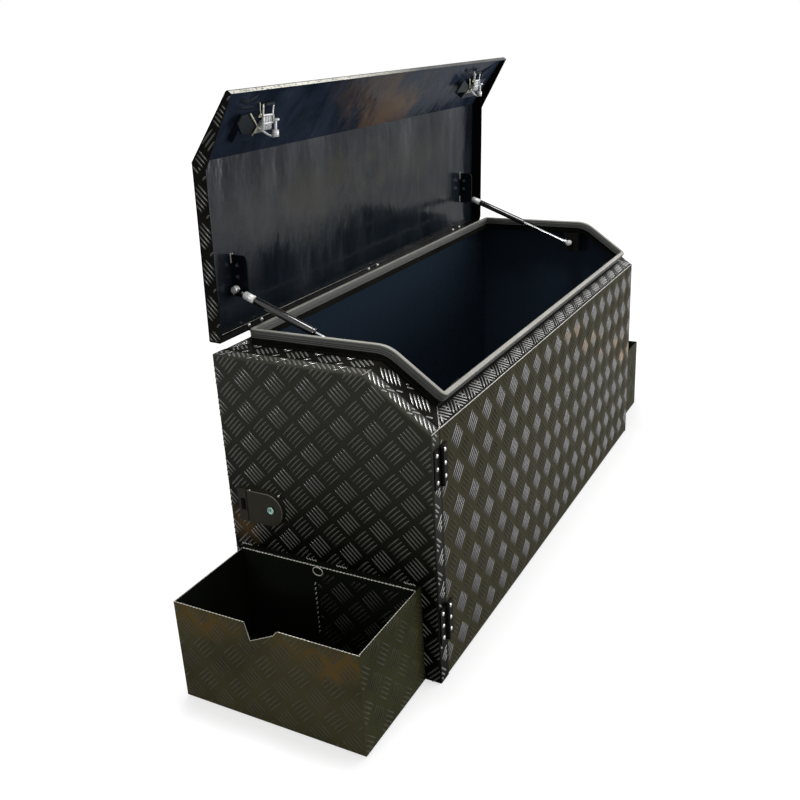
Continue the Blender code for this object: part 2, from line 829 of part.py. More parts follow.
def key_barrel(name, frame):
    """Make the key barrel in its paddle."""
    low = PADDLE_BASE
    high = PADDLE_TOP + KEY_PROUD
    ease = KEY_PROUD / 2
    profile = [(0, low), (KEY_RADIUS, low), (KEY_RADIUS, high - ease), (KEY_RADIUS - ease, high), (0, high)]
    barrel = turned(name, profile, BRASS, frame @ Matrix.Translation((KEY_FROM_END, 0, 0)))
    turn_outwards(barrel)
    return barrel


def door_latch():
    """Make the door's lock: its case with the tongue's slot, the paddle, the key barrel and the tongue."""
    frame = door_lock_frame()
    case = lock_case("door_latch_case", frame, DOOR_CASE_DEPTH)
    half = TONGUE_HALF_WIDTH
    near = -TONGUE_NEAR
    far = near - TONGUE_THICK
    tip = CASE_END + TONGUE_PROUD
    tail = tip - TONGUE_LENGTH
    slot_low = (tail - SEAT_GAP, -half - SEAT_GAP, far - SEAT_GAP)
    slot = block("slot_cutter", slot_low, (tip + CUT_OVERRUN, half + SEAT_GAP, near + SEAT_GAP), LOCK, frame)
    turn_outwards(slot)
    cut(case, slot)
    paddle = lock_paddle("door_latch_paddle", frame, True)
    barrel = key_barrel("door_latch_key_barrel", frame)
    tongue = block("door_latch_tongue", (tail, -half, far), (tip, half, near), ZINC, frame)
    turn_outwards(tongue)
    return case, paddle, barrel, tongue


def door_pan():
    """Form the door: a pan over the whole end of the body, rounded at its outer edge, cut for the lock."""
    outline = body_outline()
    face = -HALF_LENGTH - DOOR_DEPTH
    edge = -HALF_LENGTH - DOOR_GAP
    inner = inset_outline(outline, SHEET)
    loops = [outline_at(face + SHEET, inner), outline_at(edge, inner), outline_at(edge, outline)]
    for step in range(FOLD_STEPS + 1):
        angle = math.pi / 2 * step / FOLD_STEPS
        inset = FOLD_RADIUS * (1 - math.cos(angle))
        x = face + FOLD_RADIUS * (1 - math.sin(angle))
        loops.append(outline_at(x, inset_outline(outline, inset)))
    pan = loft("door_pan", loops, PAINT)
    cutter = case_block("case_cutter", door_lock_frame(), SHEET + CUT_OVERRUN, CUT_OVERRUN, SEAT_GAP)
    return cut(pan, cutter)


def rounded_plate(name, corners, radii, low, high, finish, place):
    """Extrude a four-cornered plate whose corners have their own radii, zero for a square one."""
    outline = []
    for index, (corner, radius) in enumerate(zip(corners, radii)):
        here = Vector(corner)
        if radius == 0:
            outline.append(here)
            continue
        arrive = (here - Vector(corners[index - 1])).normalized()
        leave = (Vector(corners[(index + 1) % len(corners)]) - here).normalized()
        centre = here + (leave - arrive) * radius
        for step in range(CORNER_STEPS + 1):
            angle = math.pi / 2 * step / CORNER_STEPS
            outline.append(centre - leave * radius * math.cos(angle) + arrive * radius * math.sin(angle))
    return prism(name, outline, low, high, finish, place)


def lid_strut_bracket(name, side):
    """Make the lid's strut bracket: an upright plate with two spare holes and the upper stud."""
    inner = LID_TOP - SHEET - SEAT_GAP
    near = LID_AXIS.y - LID_BRACKET_NEAR
    far = near - LID_BRACKET_LENGTH
    low = inner - LID_BRACKET_DEPTH
    middle = side * LID_BRACKET_PLANE
    half = LID_BRACKET_PLATE / 2
    place = frame_of(Vector((middle, 0, 0)), Y_AXIS, Z_AXIS, X_AXIS)
    corners = ((near, inner), (far, inner), (far, low), (near, low))
    radius = LID_BRACKET_CORNER
    plate = rounded_plate(name, corners, (0, 0, radius, radius), -half, half, PAINT, place)
    cutters = []
    for index in (1, 2):
        centre = Vector((middle, STUD_CLOSED.y - index * LID_BRACKET_PITCH, STUD_CLOSED.z))
        reach = X_AXIS * (half + CUT_OVERRUN)
        cutters.append(rod("hole", centre - reach, centre + reach, LID_BRACKET_HOLE, PAINT))
    cut(plate, *cutters)
    stud_end = side * (STRUT_PLANE + SOCKET_LENGTH / 2 - STUD_RADIUS)
    stud = rod(
        "stud",
        Vector((middle, STUD_CLOSED.y, STUD_CLOSED.z)),
        Vector((stud_end, STUD_CLOSED.y, STUD_CLOSED.z)),
        STUD_RADIUS,
        PAINT,
    )
    return unite(plate, stud)


def body_strut_bracket(name, side):
    """Make the body's strut bracket: a plate beside the rim, its flange under the shoulder and its stud."""
    top = BODY_HEIGHT - SHEET - SEAT_GAP
    low = FOOT_Z - FOOT_BELOW
    place = frame_of(Vector((side * FOOT_PLANE, FOOT_Y, 0)), Y_AXIS, Z_AXIS, X_AXIS)
    corners = (
        (-FOOT_HALF_WIDTH, low),
        (FOOT_HALF_WIDTH, low),
        (FOOT_HALF_WIDTH, top - FOOT_PLATE / 2),
        (-FOOT_HALF_WIDTH, top - FOOT_PLATE / 2),
    )
    radius = FOOT_CORNER
    start, end = sorted((0, side * FOOT_PLATE))
    plate = rounded_plate(name, corners, (radius, radius, 0, 0), start, end, PAINT, place)
    x_low, x_high = sorted((side * FOOT_PLANE, side * (FOOT_PLANE + FOOT_FLANGE)))
    flange = block(
        "flange",
        (x_low, FOOT_Y - FOOT_HALF_WIDTH, top - FOOT_PLATE),
        (x_high, FOOT_Y + FOOT_HALF_WIDTH, top),
        PAINT,
    )
    tip = side * (STRUT_PLANE + SOCKET_LENGTH / 2 + SEAT_GAP)
    root = side * (FOOT_PLANE + FOOT_PLATE / 2)
    stud = rod("stud", Vector((tip, FOOT_Y, FOOT_Z)), Vector((root, FOOT_Y, FOOT_Z)), STUD_RADIUS, PAINT)
    unite(plate, flange)
    return unite(plate, stud)


def socket(name, bore):
    """Make a strut's end socket around its local X axis, bored for the stud where it turns on one."""
    half = SOCKET_LENGTH / 2
    body = rod(name, Vector((-half, 0, 0)), Vector((half, 0, 0)), SOCKET_RADIUS, ZINC)
    if bore is None:
        return body
    start = -bore * (half + CUT_OVERRUN)
    end = bore * (half - STUD_RADIUS + SEAT_GAP)
    hole = rod("bore", Vector((start, 0, 0)), Vector((end, 0, 0)), STUD_RADIUS + SEAT_GAP, ZINC)
    return cut(body, hole)


def strut(label, side):
    """Make one gas strut along its local Z axis: the tube with its socket and the rod with its socket."""
    length = strut_length()
    bore = ROD_RADIUS + SEAT_GAP
    bottom = TUBE_START + TUBE_WALL_END
    overlap = SOCKET_RADIUS - NECK_RADIUS / 2
    profile = [
        (0, overlap),
        (NECK_RADIUS, overlap),
        (NECK_RADIUS, COLLAR_START),
        (COLLAR_RADIUS, COLLAR_START),
        (COLLAR_RADIUS, TUBE_START),
        (TUBE_RADIUS - TUBE_CHAMFER, TUBE_START),
        (TUBE_RADIUS, TUBE_START + TUBE_CHAMFER),
        (TUBE_RADIUS, TUBE_END - TUBE_CHAMFER),
        (TUBE_RADIUS - TUBE_CHAMFER, TUBE_END),
        (bore, TUBE_END),
        (bore, bottom),
        (0, bottom),
    ]
    tube = turned(f"strut_{label}_tube", profile, TUBE)
    turn_outwards(tube)
    cap = socket("socket", side)
    rest = [
        (0, TUBE_END - ROD_TAIL),
        (ROD_RADIUS, TUBE_END - ROD_TAIL),
        (ROD_RADIUS, length - ROD_NECK),
        (NECK_RADIUS, length - ROD_NECK),
        (NECK_RADIUS, length - overlap),
        (0, length - overlap),
    ]
    bar = turned(f"strut_{label}_rod", rest, ROD)
    turn_outwards(bar)
    foot = socket("socket", None)
    foot.data.transform(Matrix.Translation((0, 0, length)))
    unite(tube, cap)
    unite(bar, foot)
    return tube, bar


def stud_open():
    """Return the upper stud's place with the lid open."""
    swing = Matrix.Rotation(-LID_OPEN, 4, "X")
    return LID_AXIS + swing @ (STUD_CLOSED - LID_AXIS)


def strut_length():
    """Return the distance between the two studs with the lid open."""
    return (Vector((0, FOOT_Y, FOOT_Z)) - stud_open()).length


def catch_body(name, side, frame):
    """Make the roller catch's fixed part: foot, ribbed block, pivot pin and the adjusting bolt before it."""
    x = side * CATCH_X
    seat = LID_CASE_DEPTH - SHEET + SEAT_GAP
    foot = block(
        name,
        (x - CATCH_FOOT_HALF, CATCH_FOOT_LOW, seat),
        (x + CATCH_FOOT_HALF, CATCH_FOOT_HIGH, seat + CATCH_FOOT_THICK),
        ZINC,
        frame,
    )
    pitch = (CATCH_BLOCK_HIGH - CATCH_BLOCK_LOW) / (2 * CATCH_RIBS - 1)
    foot_middle = seat + CATCH_FOOT_THICK / 2
    valley = CATCH_BLOCK_TOP - CATCH_RIB_DEPTH
    outline = [(CATCH_BLOCK_LOW, foot_middle)]
    for index in range(CATCH_RIBS):
        low = CATCH_BLOCK_LOW + 2 * index * pitch
        if index > 0:
            outline.append((low, valley))
        outline.append((low, CATCH_BLOCK_TOP))
        outline.append((low + pitch, CATCH_BLOCK_TOP))
        if index < CATCH_RIBS - 1:
            outline.append((low + pitch, valley))
    outline.append((CATCH_BLOCK_HIGH, foot_middle))
    local = frame_of(Vector((x, 0, 0)), Y_AXIS, Z_AXIS, X_AXIS)
    ribbed = prism("ribbed", outline, -CATCH_BLOCK_HALF, CATCH_BLOCK_HALF, ZINC, frame @ local)
    reach = CATCH_BLOCK_HALF + FORK_CLEAR + FORK_PLATE + FORK_CLEAR
    centre = Vector((x, CATCH_PIVOT_S, CATCH_PIVOT_OFF))
    near_end = frame @ (centre - X_AXIS * reach)
    far_end = frame @ (centre + X_AXIS * reach)
    pin = rod("pin", near_end, far_end, CATCH_PIN_RADIUS, ZINC)
    top = Vector((x, BOLT_TOP_S, BOLT_TOP_OFF))
    end = Vector((x, BOLT_END_S, BOLT_END_OFF))
    length = (end - top).length
    profile = [
        (0, -BOLT_HEAD_THICK),
        (BOLT_HEAD_HALF, -BOLT_HEAD_THICK),
        (BOLT_HEAD_HALF, 0),
        (BOLT_RADIUS, 0),
        (BOLT_RADIUS, length - BOLT_HEAD_HALF),
        (BOLT_HEAD_HALF, length - BOLT_HEAD_HALF),
        (BOLT_HEAD_HALF, length + BOLT_HEAD_THICK),
        (0, length + BOLT_HEAD_THICK),
    ]
    turn = (end - top).to_track_quat("Z", "Y").to_matrix().to_4x4()
    bolt = turned("bolt", profile, ZINC, frame @ Matrix.Translation(top) @ turn)
    arm = block(
        "arm",
        (x - BOLT_RADIUS / 2, CATCH_PIVOT_S - pitch / 2, valley - CATCH_RIB_DEPTH),
        (x + BOLT_RADIUS / 2, CATCH_BLOCK_HIGH - pitch / 2, (BOLT_TOP_OFF + BOLT_END_OFF) / 2),
        ZINC,
        frame,
    )
    unite(foot, ribbed)
    unite(foot, pin)
    unite(foot, arm)
    return unite(foot, bolt)


def catch_fork(name, side, frame):
    """Make the roller catch's fork: two arms turning on the pivot pin, a crossbar and the roller."""
    x = side * CATCH_X
    pivot = Vector((0, CATCH_PIVOT_S, CATCH_PIVOT_OFF))
    roller = Vector((0, ROLLER_S, ROLLER_OFF))
    along = (roller - pivot).normalized()
    square = X_AXIS.cross(along)
    length = (roller - pivot).length
    start = CATCH_BLOCK_HALF + FORK_CLEAR
    pieces = []
    for direction in (-1, 1):
        near = x + direction * start
        far = near + direction * FORK_PLATE
        outline = []
        for centre, radius, turn in ((0, FORK_BOSS, math.pi / 2), (length, ROLLER_RADIUS, -math.pi / 2)):
            for step in range(LOCK_STEPS // 2 + 1):
                angle = turn + math.pi * step / (LOCK_STEPS // 2)
                outline.append((centre + radius * math.cos(angle), radius * math.sin(angle)))
        low, high = sorted((near, far))
        local = frame_of(pivot, along, square, X_AXIS)
        arm = prism("arm", outline, low, high, ZINC, frame @ local)
        bore = rod(
            "bore",
            frame @ (pivot + X_AXIS * (low - CUT_OVERRUN)),
            frame @ (pivot + X_AXIS * (high + CUT_OVERRUN)),
            CATCH_PIN_RADIUS + SEAT_GAP,
            ZINC,
        )
        pieces.append(cut(arm, bore))
    made = pieces[0]
    made.name = name
    made.data.name = name
    outside = start + FORK_PLATE / 2
    axle = rod(
        "axle",
        frame @ (roller + X_AXIS * (x - outside)),
        frame @ (roller + X_AXIS * (x + outside)),
        ROLLER_RADIUS - SEAT_GAP,
        ZINC,
    )
    bar_place = pivot + along * (length / 2)
    bar = rod(
        "crossbar",
        frame @ (bar_place + X_AXIS * (x - outside)),
        frame @ (bar_place + X_AXIS * (x + outside)),
        CATCH_PIN_RADIUS,
        ZINC,
    )
    return unite(made, pieces[1], axle, bar)


def keeper(name, side):
    """Make a catch's keeper: a plate on the front rim's inner face with the ledge that the roller passes."""
    face = RIM_S_FRONT + SHEET + SEAT_GAP
    low, high = sorted((side * CATCH_X - KEEPER_HALF, side * CATCH_X + KEEPER_HALF))
    lower = KEEPER_LEDGE_TOP - KEEPER_PLATE
    section = (
        (face, KEEPER_LOW),
        (face + KEEPER_PLATE, KEEPER_LOW),
        (face + KEEPER_PLATE, lower),
        (face + KEEPER_LEDGE, lower),
        (face + KEEPER_LEDGE, KEEPER_LEDGE_TOP),
        (face + KEEPER_PLATE, KEEPER_LEDGE_TOP),
        (face + KEEPER_PLATE, KEEPER_TOP),
        (face, KEEPER_TOP),
    )
    return loft(name, [[top_point(x, s, n) for s, n in section] for x in (low, high)], PAINT)


def build_body():
    """Make everything that stands still."""
    body_wrap()
    left_end_frame()
    end_wall("right_end_wall", 1)
    rim_seal()
    door_seal()
    tray("right_tray", 1)
    for label, side in (("left", -1), ("right", 1)):
        body_strut_bracket(f"strut_{label}_body_bracket", side)
        keeper(f"keeper_{label}", side)


def build_lid():
    """Make the lid closed, with what it carries, and swing it open about its hinge axis."""
    pivot = empty_at("lid_pivot", LID_AXIS)
    pivot.rotation_euler = (-LID_OPEN, 0, 0)
    carried = [lid_panel()]
    for label, x in (("left", -LID_HINGE_SPACING), ("middle", 0), ("right", LID_HINGE_SPACING)):
        centre = LID_AXIS + X_AXIS * x
        hinge_leaf(f"lid_hinge_{label}_fixed", centre, X_AXIS, -Z_AXIS, Y_AXIS, FIXED_KNUCKLES, PAINT, True)
        moving = f"lid_hinge_{label}_moving"
        carried.append(hinge_leaf(moving, centre, X_AXIS, Z_AXIS, Y_AXIS, MOVING_KNUCKLES, PAINT, False))
    slope = lid_slope_frame()
    for label, side in (("left", -1), ("right", 1)):
        carried.append(lid_strut_bracket(f"strut_{label}_lid_bracket", side))
        frame = lid_lock_frame(side)
        carried.append(lock_case(f"lid_latch_{label}_case", frame, LID_CASE_DEPTH))
        carried.append(catch_body(f"lid_latch_{label}_catch", side, slope))
        paddle = lock_paddle(f"lid_latch_{label}_paddle", frame, False)
        seam = frame @ Vector((PADDLE_SEAM, 0, PADDLE_TOP))
        hang(empty_at(f"lid_latch_{label}_paddle_pivot", seam - LID_AXIS, pivot), seam, paddle)
        fork = catch_fork(f"lid_latch_{label}_fork", side, slope)
        axle = slope @ Vector((side * CATCH_X, CATCH_PIVOT_S, CATCH_PIVOT_OFF))
        hang(empty_at(f"lid_latch_{label}_fork_pivot", axle - LID_AXIS, pivot), axle, fork)
    hang(pivot, LID_AXIS, *carried)


def build_struts():
    """Make both gas struts, each on an empty at its upper stud that points to the lower one."""
    upper = stud_open()
    lower = Vector((0, FOOT_Y, FOOT_Z))
    lean = (lower - upper).normalized()
    for label, side in (("left", -1), ("right", 1)):
        pivot = empty_at(f"strut_{label}_pivot", upper + X_AXIS * side * STRUT_PLANE)
        pivot.rotation_mode = "QUATERNION"
        pivot.rotation_quaternion = frame_of(upper, X_AXIS, lean.cross(X_AXIS), lean).to_quaternion()
        hang(pivot, Vector((0, 0, 0)), *strut(label, side))


def build_door():
    """Make the end door with its tray, hinges and lock, on an empty at its hinge axis."""
    pivot = empty_at("door_pivot", DOOR_AXIS)
    case, paddle, barrel, tongue = door_latch()
    carried = [door_pan(), tray("left_tray", -1), case]
    for label, height in (("upper", DOOR_HINGE_HIGH), ("lower", DOOR_HINGE_LOW)):
        centre = DOOR_AXIS + Z_AXIS * height
        fixed = f"door_hinge_{label}_fixed"
        hinge_leaf(fixed, centre, Z_AXIS, X_AXIS, -Y_AXIS, FIXED_KNUCKLES, PAINT, True)
        moving = f"door_hinge_{label}_moving"
        carried.append(hinge_leaf(moving, centre, Z_AXIS, -X_AXIS, -Y_AXIS, MOVING_KNUCKLES, PAINT, False))
    hang(pivot, DOOR_AXIS, *carried)
    frame = door_lock_frame()
    seam = frame @ Vector((PADDLE_SEAM, 0, PADDLE_TOP))
    paddle_pivot = empty_at("door_latch_paddle_pivot", seam - DOOR_AXIS, pivot)
    hang(paddle_pivot, seam, paddle)
    keyway = frame @ Vector((KEY_FROM_END, 0, PADDLE_BASE))
    hang(empty_at("door_latch_key_pivot", keyway - seam, paddle_pivot), keyway, barrel)
    throw = frame @ Vector((CASE_END, 0, -TONGUE_NEAR))
    hang(empty_at("door_latch_tongue_slide", throw - DOOR_AXIS, pivot), throw, tongue)


def main():
    """Clear the scene and make the toolbox."""
    for old in list(bpy.data.objects):
        bpy.data.objects.remove(old)
    build_body()
    build_lid()
    build_struts()
    build_door()


main()
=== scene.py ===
"""Dress a checker plate toolbox: tread, seal, fasteners, welds, locks, catches, finishes and studio."""
import math

import bmesh
import bpy
import numpy as np
from mathutils import Euler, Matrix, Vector


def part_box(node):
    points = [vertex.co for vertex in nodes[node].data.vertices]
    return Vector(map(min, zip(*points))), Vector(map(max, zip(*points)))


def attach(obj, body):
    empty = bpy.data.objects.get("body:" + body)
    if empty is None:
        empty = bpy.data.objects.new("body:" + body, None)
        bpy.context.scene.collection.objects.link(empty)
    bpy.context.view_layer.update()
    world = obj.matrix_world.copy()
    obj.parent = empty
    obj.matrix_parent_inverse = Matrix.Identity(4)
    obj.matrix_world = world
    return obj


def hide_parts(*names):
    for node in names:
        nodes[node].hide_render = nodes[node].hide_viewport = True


bl_info = {
    "name": "Checker Plate Toolbox",
    "version": (1, 0, 0),
    "blender": (4, 5, 0),
    "location": "3D View > Sidebar > Toolbox",
    "description": "Adds tread, seal, fittings, finishes and a studio to the packed toolbox",
    "category": "Object",
}

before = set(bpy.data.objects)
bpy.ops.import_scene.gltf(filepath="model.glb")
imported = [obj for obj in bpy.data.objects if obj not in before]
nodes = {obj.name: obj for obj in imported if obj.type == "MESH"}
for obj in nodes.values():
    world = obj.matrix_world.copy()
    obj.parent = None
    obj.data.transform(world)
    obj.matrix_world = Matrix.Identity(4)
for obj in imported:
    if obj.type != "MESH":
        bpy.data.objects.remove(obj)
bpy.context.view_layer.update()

# Sizes of the folded sheets, in metres.
SHEET = 0.0025
FOLD_RADIUS = 0.0045
SLOPE = math.radians(36.0)
FOLD_Y = -0.095
RIM_FROM_FRONT = 0.033
RIM_FROM_REAR = 0.032
RIM_FROM_END = 0.048
RIM_HEIGHT = 0.024
LID_RISE = 0.033
LID_SLOPED = 0.1517
LID_END_FLANGE = 0.030
LID_TIP_FLANGE = 0.012
LID_REAR_FLANGE = 0.026
EDGE_CLEAR = 0.0015
TREAD_GAP = 0.0001

COS = math.cos(SLOPE)
SIN = math.sin(SLOPE)
DOOR_LOW, DOOR_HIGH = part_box("door_pan")
LEFT_TRAY_LOW, LEFT_TRAY_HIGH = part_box("left_tray")
RIGHT_TRAY_LOW, RIGHT_TRAY_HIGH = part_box("right_tray")
RIGHT_WALL_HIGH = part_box("right_end_wall")[1]
HALF_LENGTH = RIGHT_WALL_HIGH.x
HALF_WIDTH = 0.218
BODY_HEIGHT = 0.580
S_FRONT = -(FOLD_Y + HALF_WIDTH) / COS
S_REAR = HALF_WIDTH - FOLD_Y
FRONT_HEIGHT = BODY_HEIGHT + S_FRONT * SIN
LID_TOP = BODY_HEIGHT + LID_RISE
LID_HALF = HALF_LENGTH - 0.005
LID_CREASE_Y = FOLD_Y - LID_RISE * math.tan(SLOPE / 2)
LID_AXIS = np.array((0.0, 0.2223, 0.584))
LID_OPEN = math.radians(88.05)

X = np.array((1.0, 0.0, 0.0))
Y = np.array((0.0, 1.0, 0.0))
Z = np.array((0.0, 0.0, 1.0))
UP_SLOPE = np.array((0.0, COS, SIN))
OFF_SLOPE = np.array((0.0, -SIN, COS))
FOLD = np.array((0.0, FOLD_Y, BODY_HEIGHT))
FRONT_CORNER = np.array((0.0, -HALF_WIDTH, FRONT_HEIGHT))

# Places on the body's top. A place is (origin, across, up, outwards).
BODY_SLOPE = (FOLD, X, UP_SLOPE, OFF_SLOPE)
BODY_TOP = (FOLD, X, Y, Z)

# Hinges: pivot, leaves and rivets.
DOOR_HINGE_HEIGHTS = (0.424, 0.117)
DOOR_HINGE_X = -0.60025
DOOR_HINGE_HALF = 0.036
LID_HINGES_X = (-0.467, 0.0, 0.467)
LEAF = 0.0023
RIVET_RADIUS = 0.0042
DOOR_RIVET_STEP = 0.0247
DOOR_RIVET_SIDE = 0.0150
LID_RIVET_SIDE = 0.0205
LID_RIVET_HEIGHT = 0.602
BODY_RIVET_HEIGHT = 0.566

# Trays: the front's notch as (y, z), and the inner wall's step from the tray's inner edge.
NOTCH = [(0.035, 0.200), (0.027, 0.166), (-0.022, 0.190), (-0.031, 0.200)]
WALL_STEP = 0.0205

# Tread lattices: pitch along and up, and the place of one group.
FRONT_PITCH = (0.0660, 0.0669)
FRONT_PHASE = (-0.532, 0.450)
DOOR_PITCH = (0.0663, 0.0620)
DOOR_PHASE = (0.0136, 0.4475)
FLANGE_PITCH = (0.0520, 0.0570)
FLANGE_TOP_PITCH = (0.0520, 0.0600)
TRAY_PITCH = (0.0660, 0.0680)
TRAY_PHASE = (0.001, 0.123)
PLAIN_PITCH = (0.0663, 0.0663)
PLAIN_PHASE = (0.0, 0.0)


class TreadSettings(bpy.types.PropertyGroup):
    """Sizes of the raised five-bar tread."""

    bar_length: bpy.props.FloatProperty(
        name="Bar length", description="Length of one raised bar", default=0.0360, unit="LENGTH"
    )
    bar_width: bpy.props.FloatProperty(
        name="Bar width", description="Width of one raised bar at its root", default=0.0048, unit="LENGTH"
    )
    bar_height: bpy.props.FloatProperty(
        name="Bar height", description="How far a bar stands off the sheet", default=0.0012, unit="LENGTH"
    )
    bar_spacing: bpy.props.FloatProperty(
        name="Bar spacing", description="Distance between bars of one group", default=0.0078, unit="LENGTH"
    )


class FinishSettings(bpy.types.PropertyGroup):
    """Colours of the finishes."""

    coat: bpy.props.FloatVectorProperty(
        name="Powder coat", description="Colour of the powder coat", default=(0.0065, 0.0062, 0.0052),
        size=3, subtype="COLOR", min=0, max=1,
    )
    # The inside colour is a painted bluish reflection on the black coat of the inner faces.
    inside: bpy.props.FloatVectorProperty(
        name="Inside", description="Colour of the coat inside the box", default=(0.0180, 0.0280, 0.0430),
        size=3, subtype="COLOR", min=0, max=1,
    )
    # The tray's brown is a painted reflection on the black coat.
    tray: bpy.props.FloatVectorProperty(
        name="Tray sheen", description="Brown sheen of the coat on the tray", default=(0.052, 0.0475, 0.0235),
        size=3, subtype="COLOR", min=0, max=1,
    )
    # The front's olive tone is a painted reflection on the black coat.
    front: bpy.props.FloatVectorProperty(
        name="Front sheen", description="Olive sheen of the powder coat on the front",
        default=(0.034, 0.0305, 0.0135), size=3, subtype="COLOR", min=0, max=1,
    )
    tread: bpy.props.FloatVectorProperty(
        name="Tread", description="Colour of the coat on the raised bars", default=(0.022, 0.020, 0.013),
        size=3, subtype="COLOR", min=0, max=1,
    )
    seal: bpy.props.FloatVectorProperty(
        name="Seal", description="Colour of the rubber seal", default=(0.046, 0.050, 0.044),
        size=3, subtype="COLOR", min=0, max=1,
    )


class StudioSettings(bpy.types.PropertyGroup):
    """Light of the studio."""

    key: bpy.props.FloatProperty(
        name="Key light", description="Power of the front softbox", default=70.0, unit="POWER"
    )
    top: bpy.props.FloatProperty(
        name="Top light", description="Power of the overhead softbox", default=70.0, unit="POWER"
    )
    side: bpy.props.FloatProperty(
        name="Side light", description="Power of the left and the right softbox", default=16.0,
        unit="POWER",
    )


def hinged(points, axis=LID_AXIS, angle=-LID_OPEN):
    """Turn points about an X axis: the lid's shut places become its open ones."""
    turned = np.asarray(points, float) - axis
    cos, sin = math.cos(angle), math.sin(angle)
    y = turned[..., 1] * cos - turned[..., 2] * sin
    z = turned[..., 1] * sin + turned[..., 2] * cos
    return np.stack([turned[..., 0], y, z], -1) + axis


def swung(direction):
    """Turn a direction from the shut lid to the open one."""
    return hinged(LID_AXIS + np.asarray(direction, float)) - LID_AXIS


def ring_faces(rings, sides, closed=False):
    """Quads between neighbouring rings, ring by ring, and fans of quads over the two end rings."""
    count = rings if closed else rings - 1
    ring, side = np.meshgrid(np.arange(count), np.arange(sides), indexing="ij")
    after = (ring + 1) % rings
    beside = (side + 1) % sides
    quads = np.stack(
        [ring * sides + side, after * sides + side, after * sides + beside, ring * sides + beside], -1
    ).reshape(-1, 4)
    if closed:
        return quads
    fan = np.arange(sides // 2 - 1) * 2
    first = np.stack([np.zeros_like(fan), fan + 1, fan + 2, fan + 3], -1)
    last = first[:, ::-1] + (rings - 1) * sides
    return np.concatenate([quads, first, last])


def repeat_faces(faces, copies, vertices):
    """The same faces for each of several copies that follow one another in the vertex list."""
    shift = np.arange(copies)[:, None, None] * vertices
    return (faces[None] + shift).reshape(-1, faces.shape[1])


def joined(parts):
    """Join (points, faces) pairs into one pair."""
    points = []
    faces = []
    start = 0
    for part_points, part_faces in parts:
        part_points = np.asarray(part_points, float).reshape(-1, 3)
        points.append(part_points)
        faces.append(np.asarray(part_faces) + start)
        start += len(part_points)
    return np.concatenate(points), np.concatenate(faces)


finishes = {}


def make_piece(name, body, finish, slot, *parts, smooth=True):
    """Join (points, faces) pairs into one mesh object, finish it and let it ride on its body."""
    points, faces = joined(parts)
    mesh = bpy.data.meshes.new(name)
    mesh.from_pydata(points.tolist(), [], faces.tolist())
    mesh.polygons.foreach_set("use_smooth", np.full(len(mesh.polygons), smooth))
    mesh.materials.append(finishes[finish])
    mesh.update()
    piece = bpy.data.objects.new(name, mesh)
    bpy.context.scene.collection.objects.link(piece)
    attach(piece, body)
    return piece


def facing_out(points, faces):
    """Turn the faces of a closed shape outwards: its volume, the sum of a . (b x c) / 6, is then positive."""
    corners = points[faces] - points.mean(0)
    first, second, third, fourth = (corners[:, index] for index in range(4))
    volume = np.sum(first * (np.cross(second, third) + np.cross(third, fourth)))
    return points, faces if volume > 0 else faces[:, ::-1]


def square_axes(direction):
    """A unit direction and two more that are square to it and to each other."""
    axis = np.asarray(direction, float) / np.linalg.norm(direction)
    first = np.cross(axis, X if abs(axis[0]) < 0.7 else Z)
    first /= np.linalg.norm(first)
    return axis, first, np.cross(axis, first)


def turned(profile, place, direction, sides=16):
    """A turned shape: each (d, r) of the profile gives the ring place + d * axis + r * (cos a, sin a)."""
    axis, first, second = square_axes(direction)
    profile = np.asarray(profile, float)
    angle = np.arange(sides) * 2 * math.pi / sides
    ring = np.cos(angle)[:, None] * first + np.sin(angle)[:, None] * second
    points = place + profile[:, :1, None] * axis + profile[:, 1:, None] * ring
    return facing_out(points.reshape(-1, 3), ring_faces(len(profile), sides))


def dome(place, direction, radius, height, sides=12):
    """A rivet head: at the angle a the ring has the radius R * cos a and stands H * sin a off the sheet."""
    angle = np.radians([0, 25, 50, 70, 84])
    profile = np.stack([height * np.sin(angle), radius * np.cos(angle)], -1)
    return turned(np.concatenate([[(-0.0004, radius)], profile]), np.asarray(place, float), direction, sides)


def bar(path, side, width, height, sides=8, closed=False):
    """A bar along a path: rings W * cos a * side + H * sin a * up, with up square to side and path."""
    path = np.asarray(path, float)
    if closed:
        tangent = np.roll(path, -1, 0) - np.roll(path, 1, 0)
    else:
        tangent = np.gradient(path, axis=0)
    up = np.cross(tangent, side)
    up /= np.linalg.norm(up, axis=1, keepdims=True)
    angle = (np.arange(sides) + 0.5) * 2 * math.pi / sides
    width = np.broadcast_to(width, len(path))[:, None, None]
    height = np.broadcast_to(height, len(path))[:, None, None]
    around = np.cos(angle)[None, :, None] * width * np.asarray(side, float)
    points = path[:, None] + around + np.sin(angle)[None, :, None] * height * up[:, None]
    return facing_out(points.reshape(-1, 3), ring_faces(len(path), sides, closed))


def eased(corners, rounds=2):
    """Cut a path's corners: each round puts points at 1/4 and 3/4 of every stretch and keeps both ends."""
    path = np.asarray(corners, float)
    for _ in range(rounds):
        near = path[:-1] * 0.75 + path[1:] * 0.25
        far = path[:-1] * 0.25 + path[1:] * 0.75
        path = np.concatenate([path[:1], np.stack([near, far], 1).reshape(-1, path.shape[1]), path[-1:]])
    return path


def weld(start, end, side, width=0.0022, height=0.0011, ripple=0.0022, depth=0.3):
    """A weld bead: a bar whose half width and height swell as 1.1 - depth * (1 - |sin(pi * s / ripple)|)."""
    start = np.asarray(start, float)
    end = np.asarray(end, float)
    length = np.linalg.norm(end - start)
    count = max(5, int(length / ripple * (3 if depth < 0.5 else 6)))
    share = np.linspace(0, 1, count)
    swell = 1.1 - depth * (1 - np.abs(np.sin(math.pi * share * length / ripple)))
    return bar(start + share[:, None] * (end - start), side, width * swell, height * swell, 6)


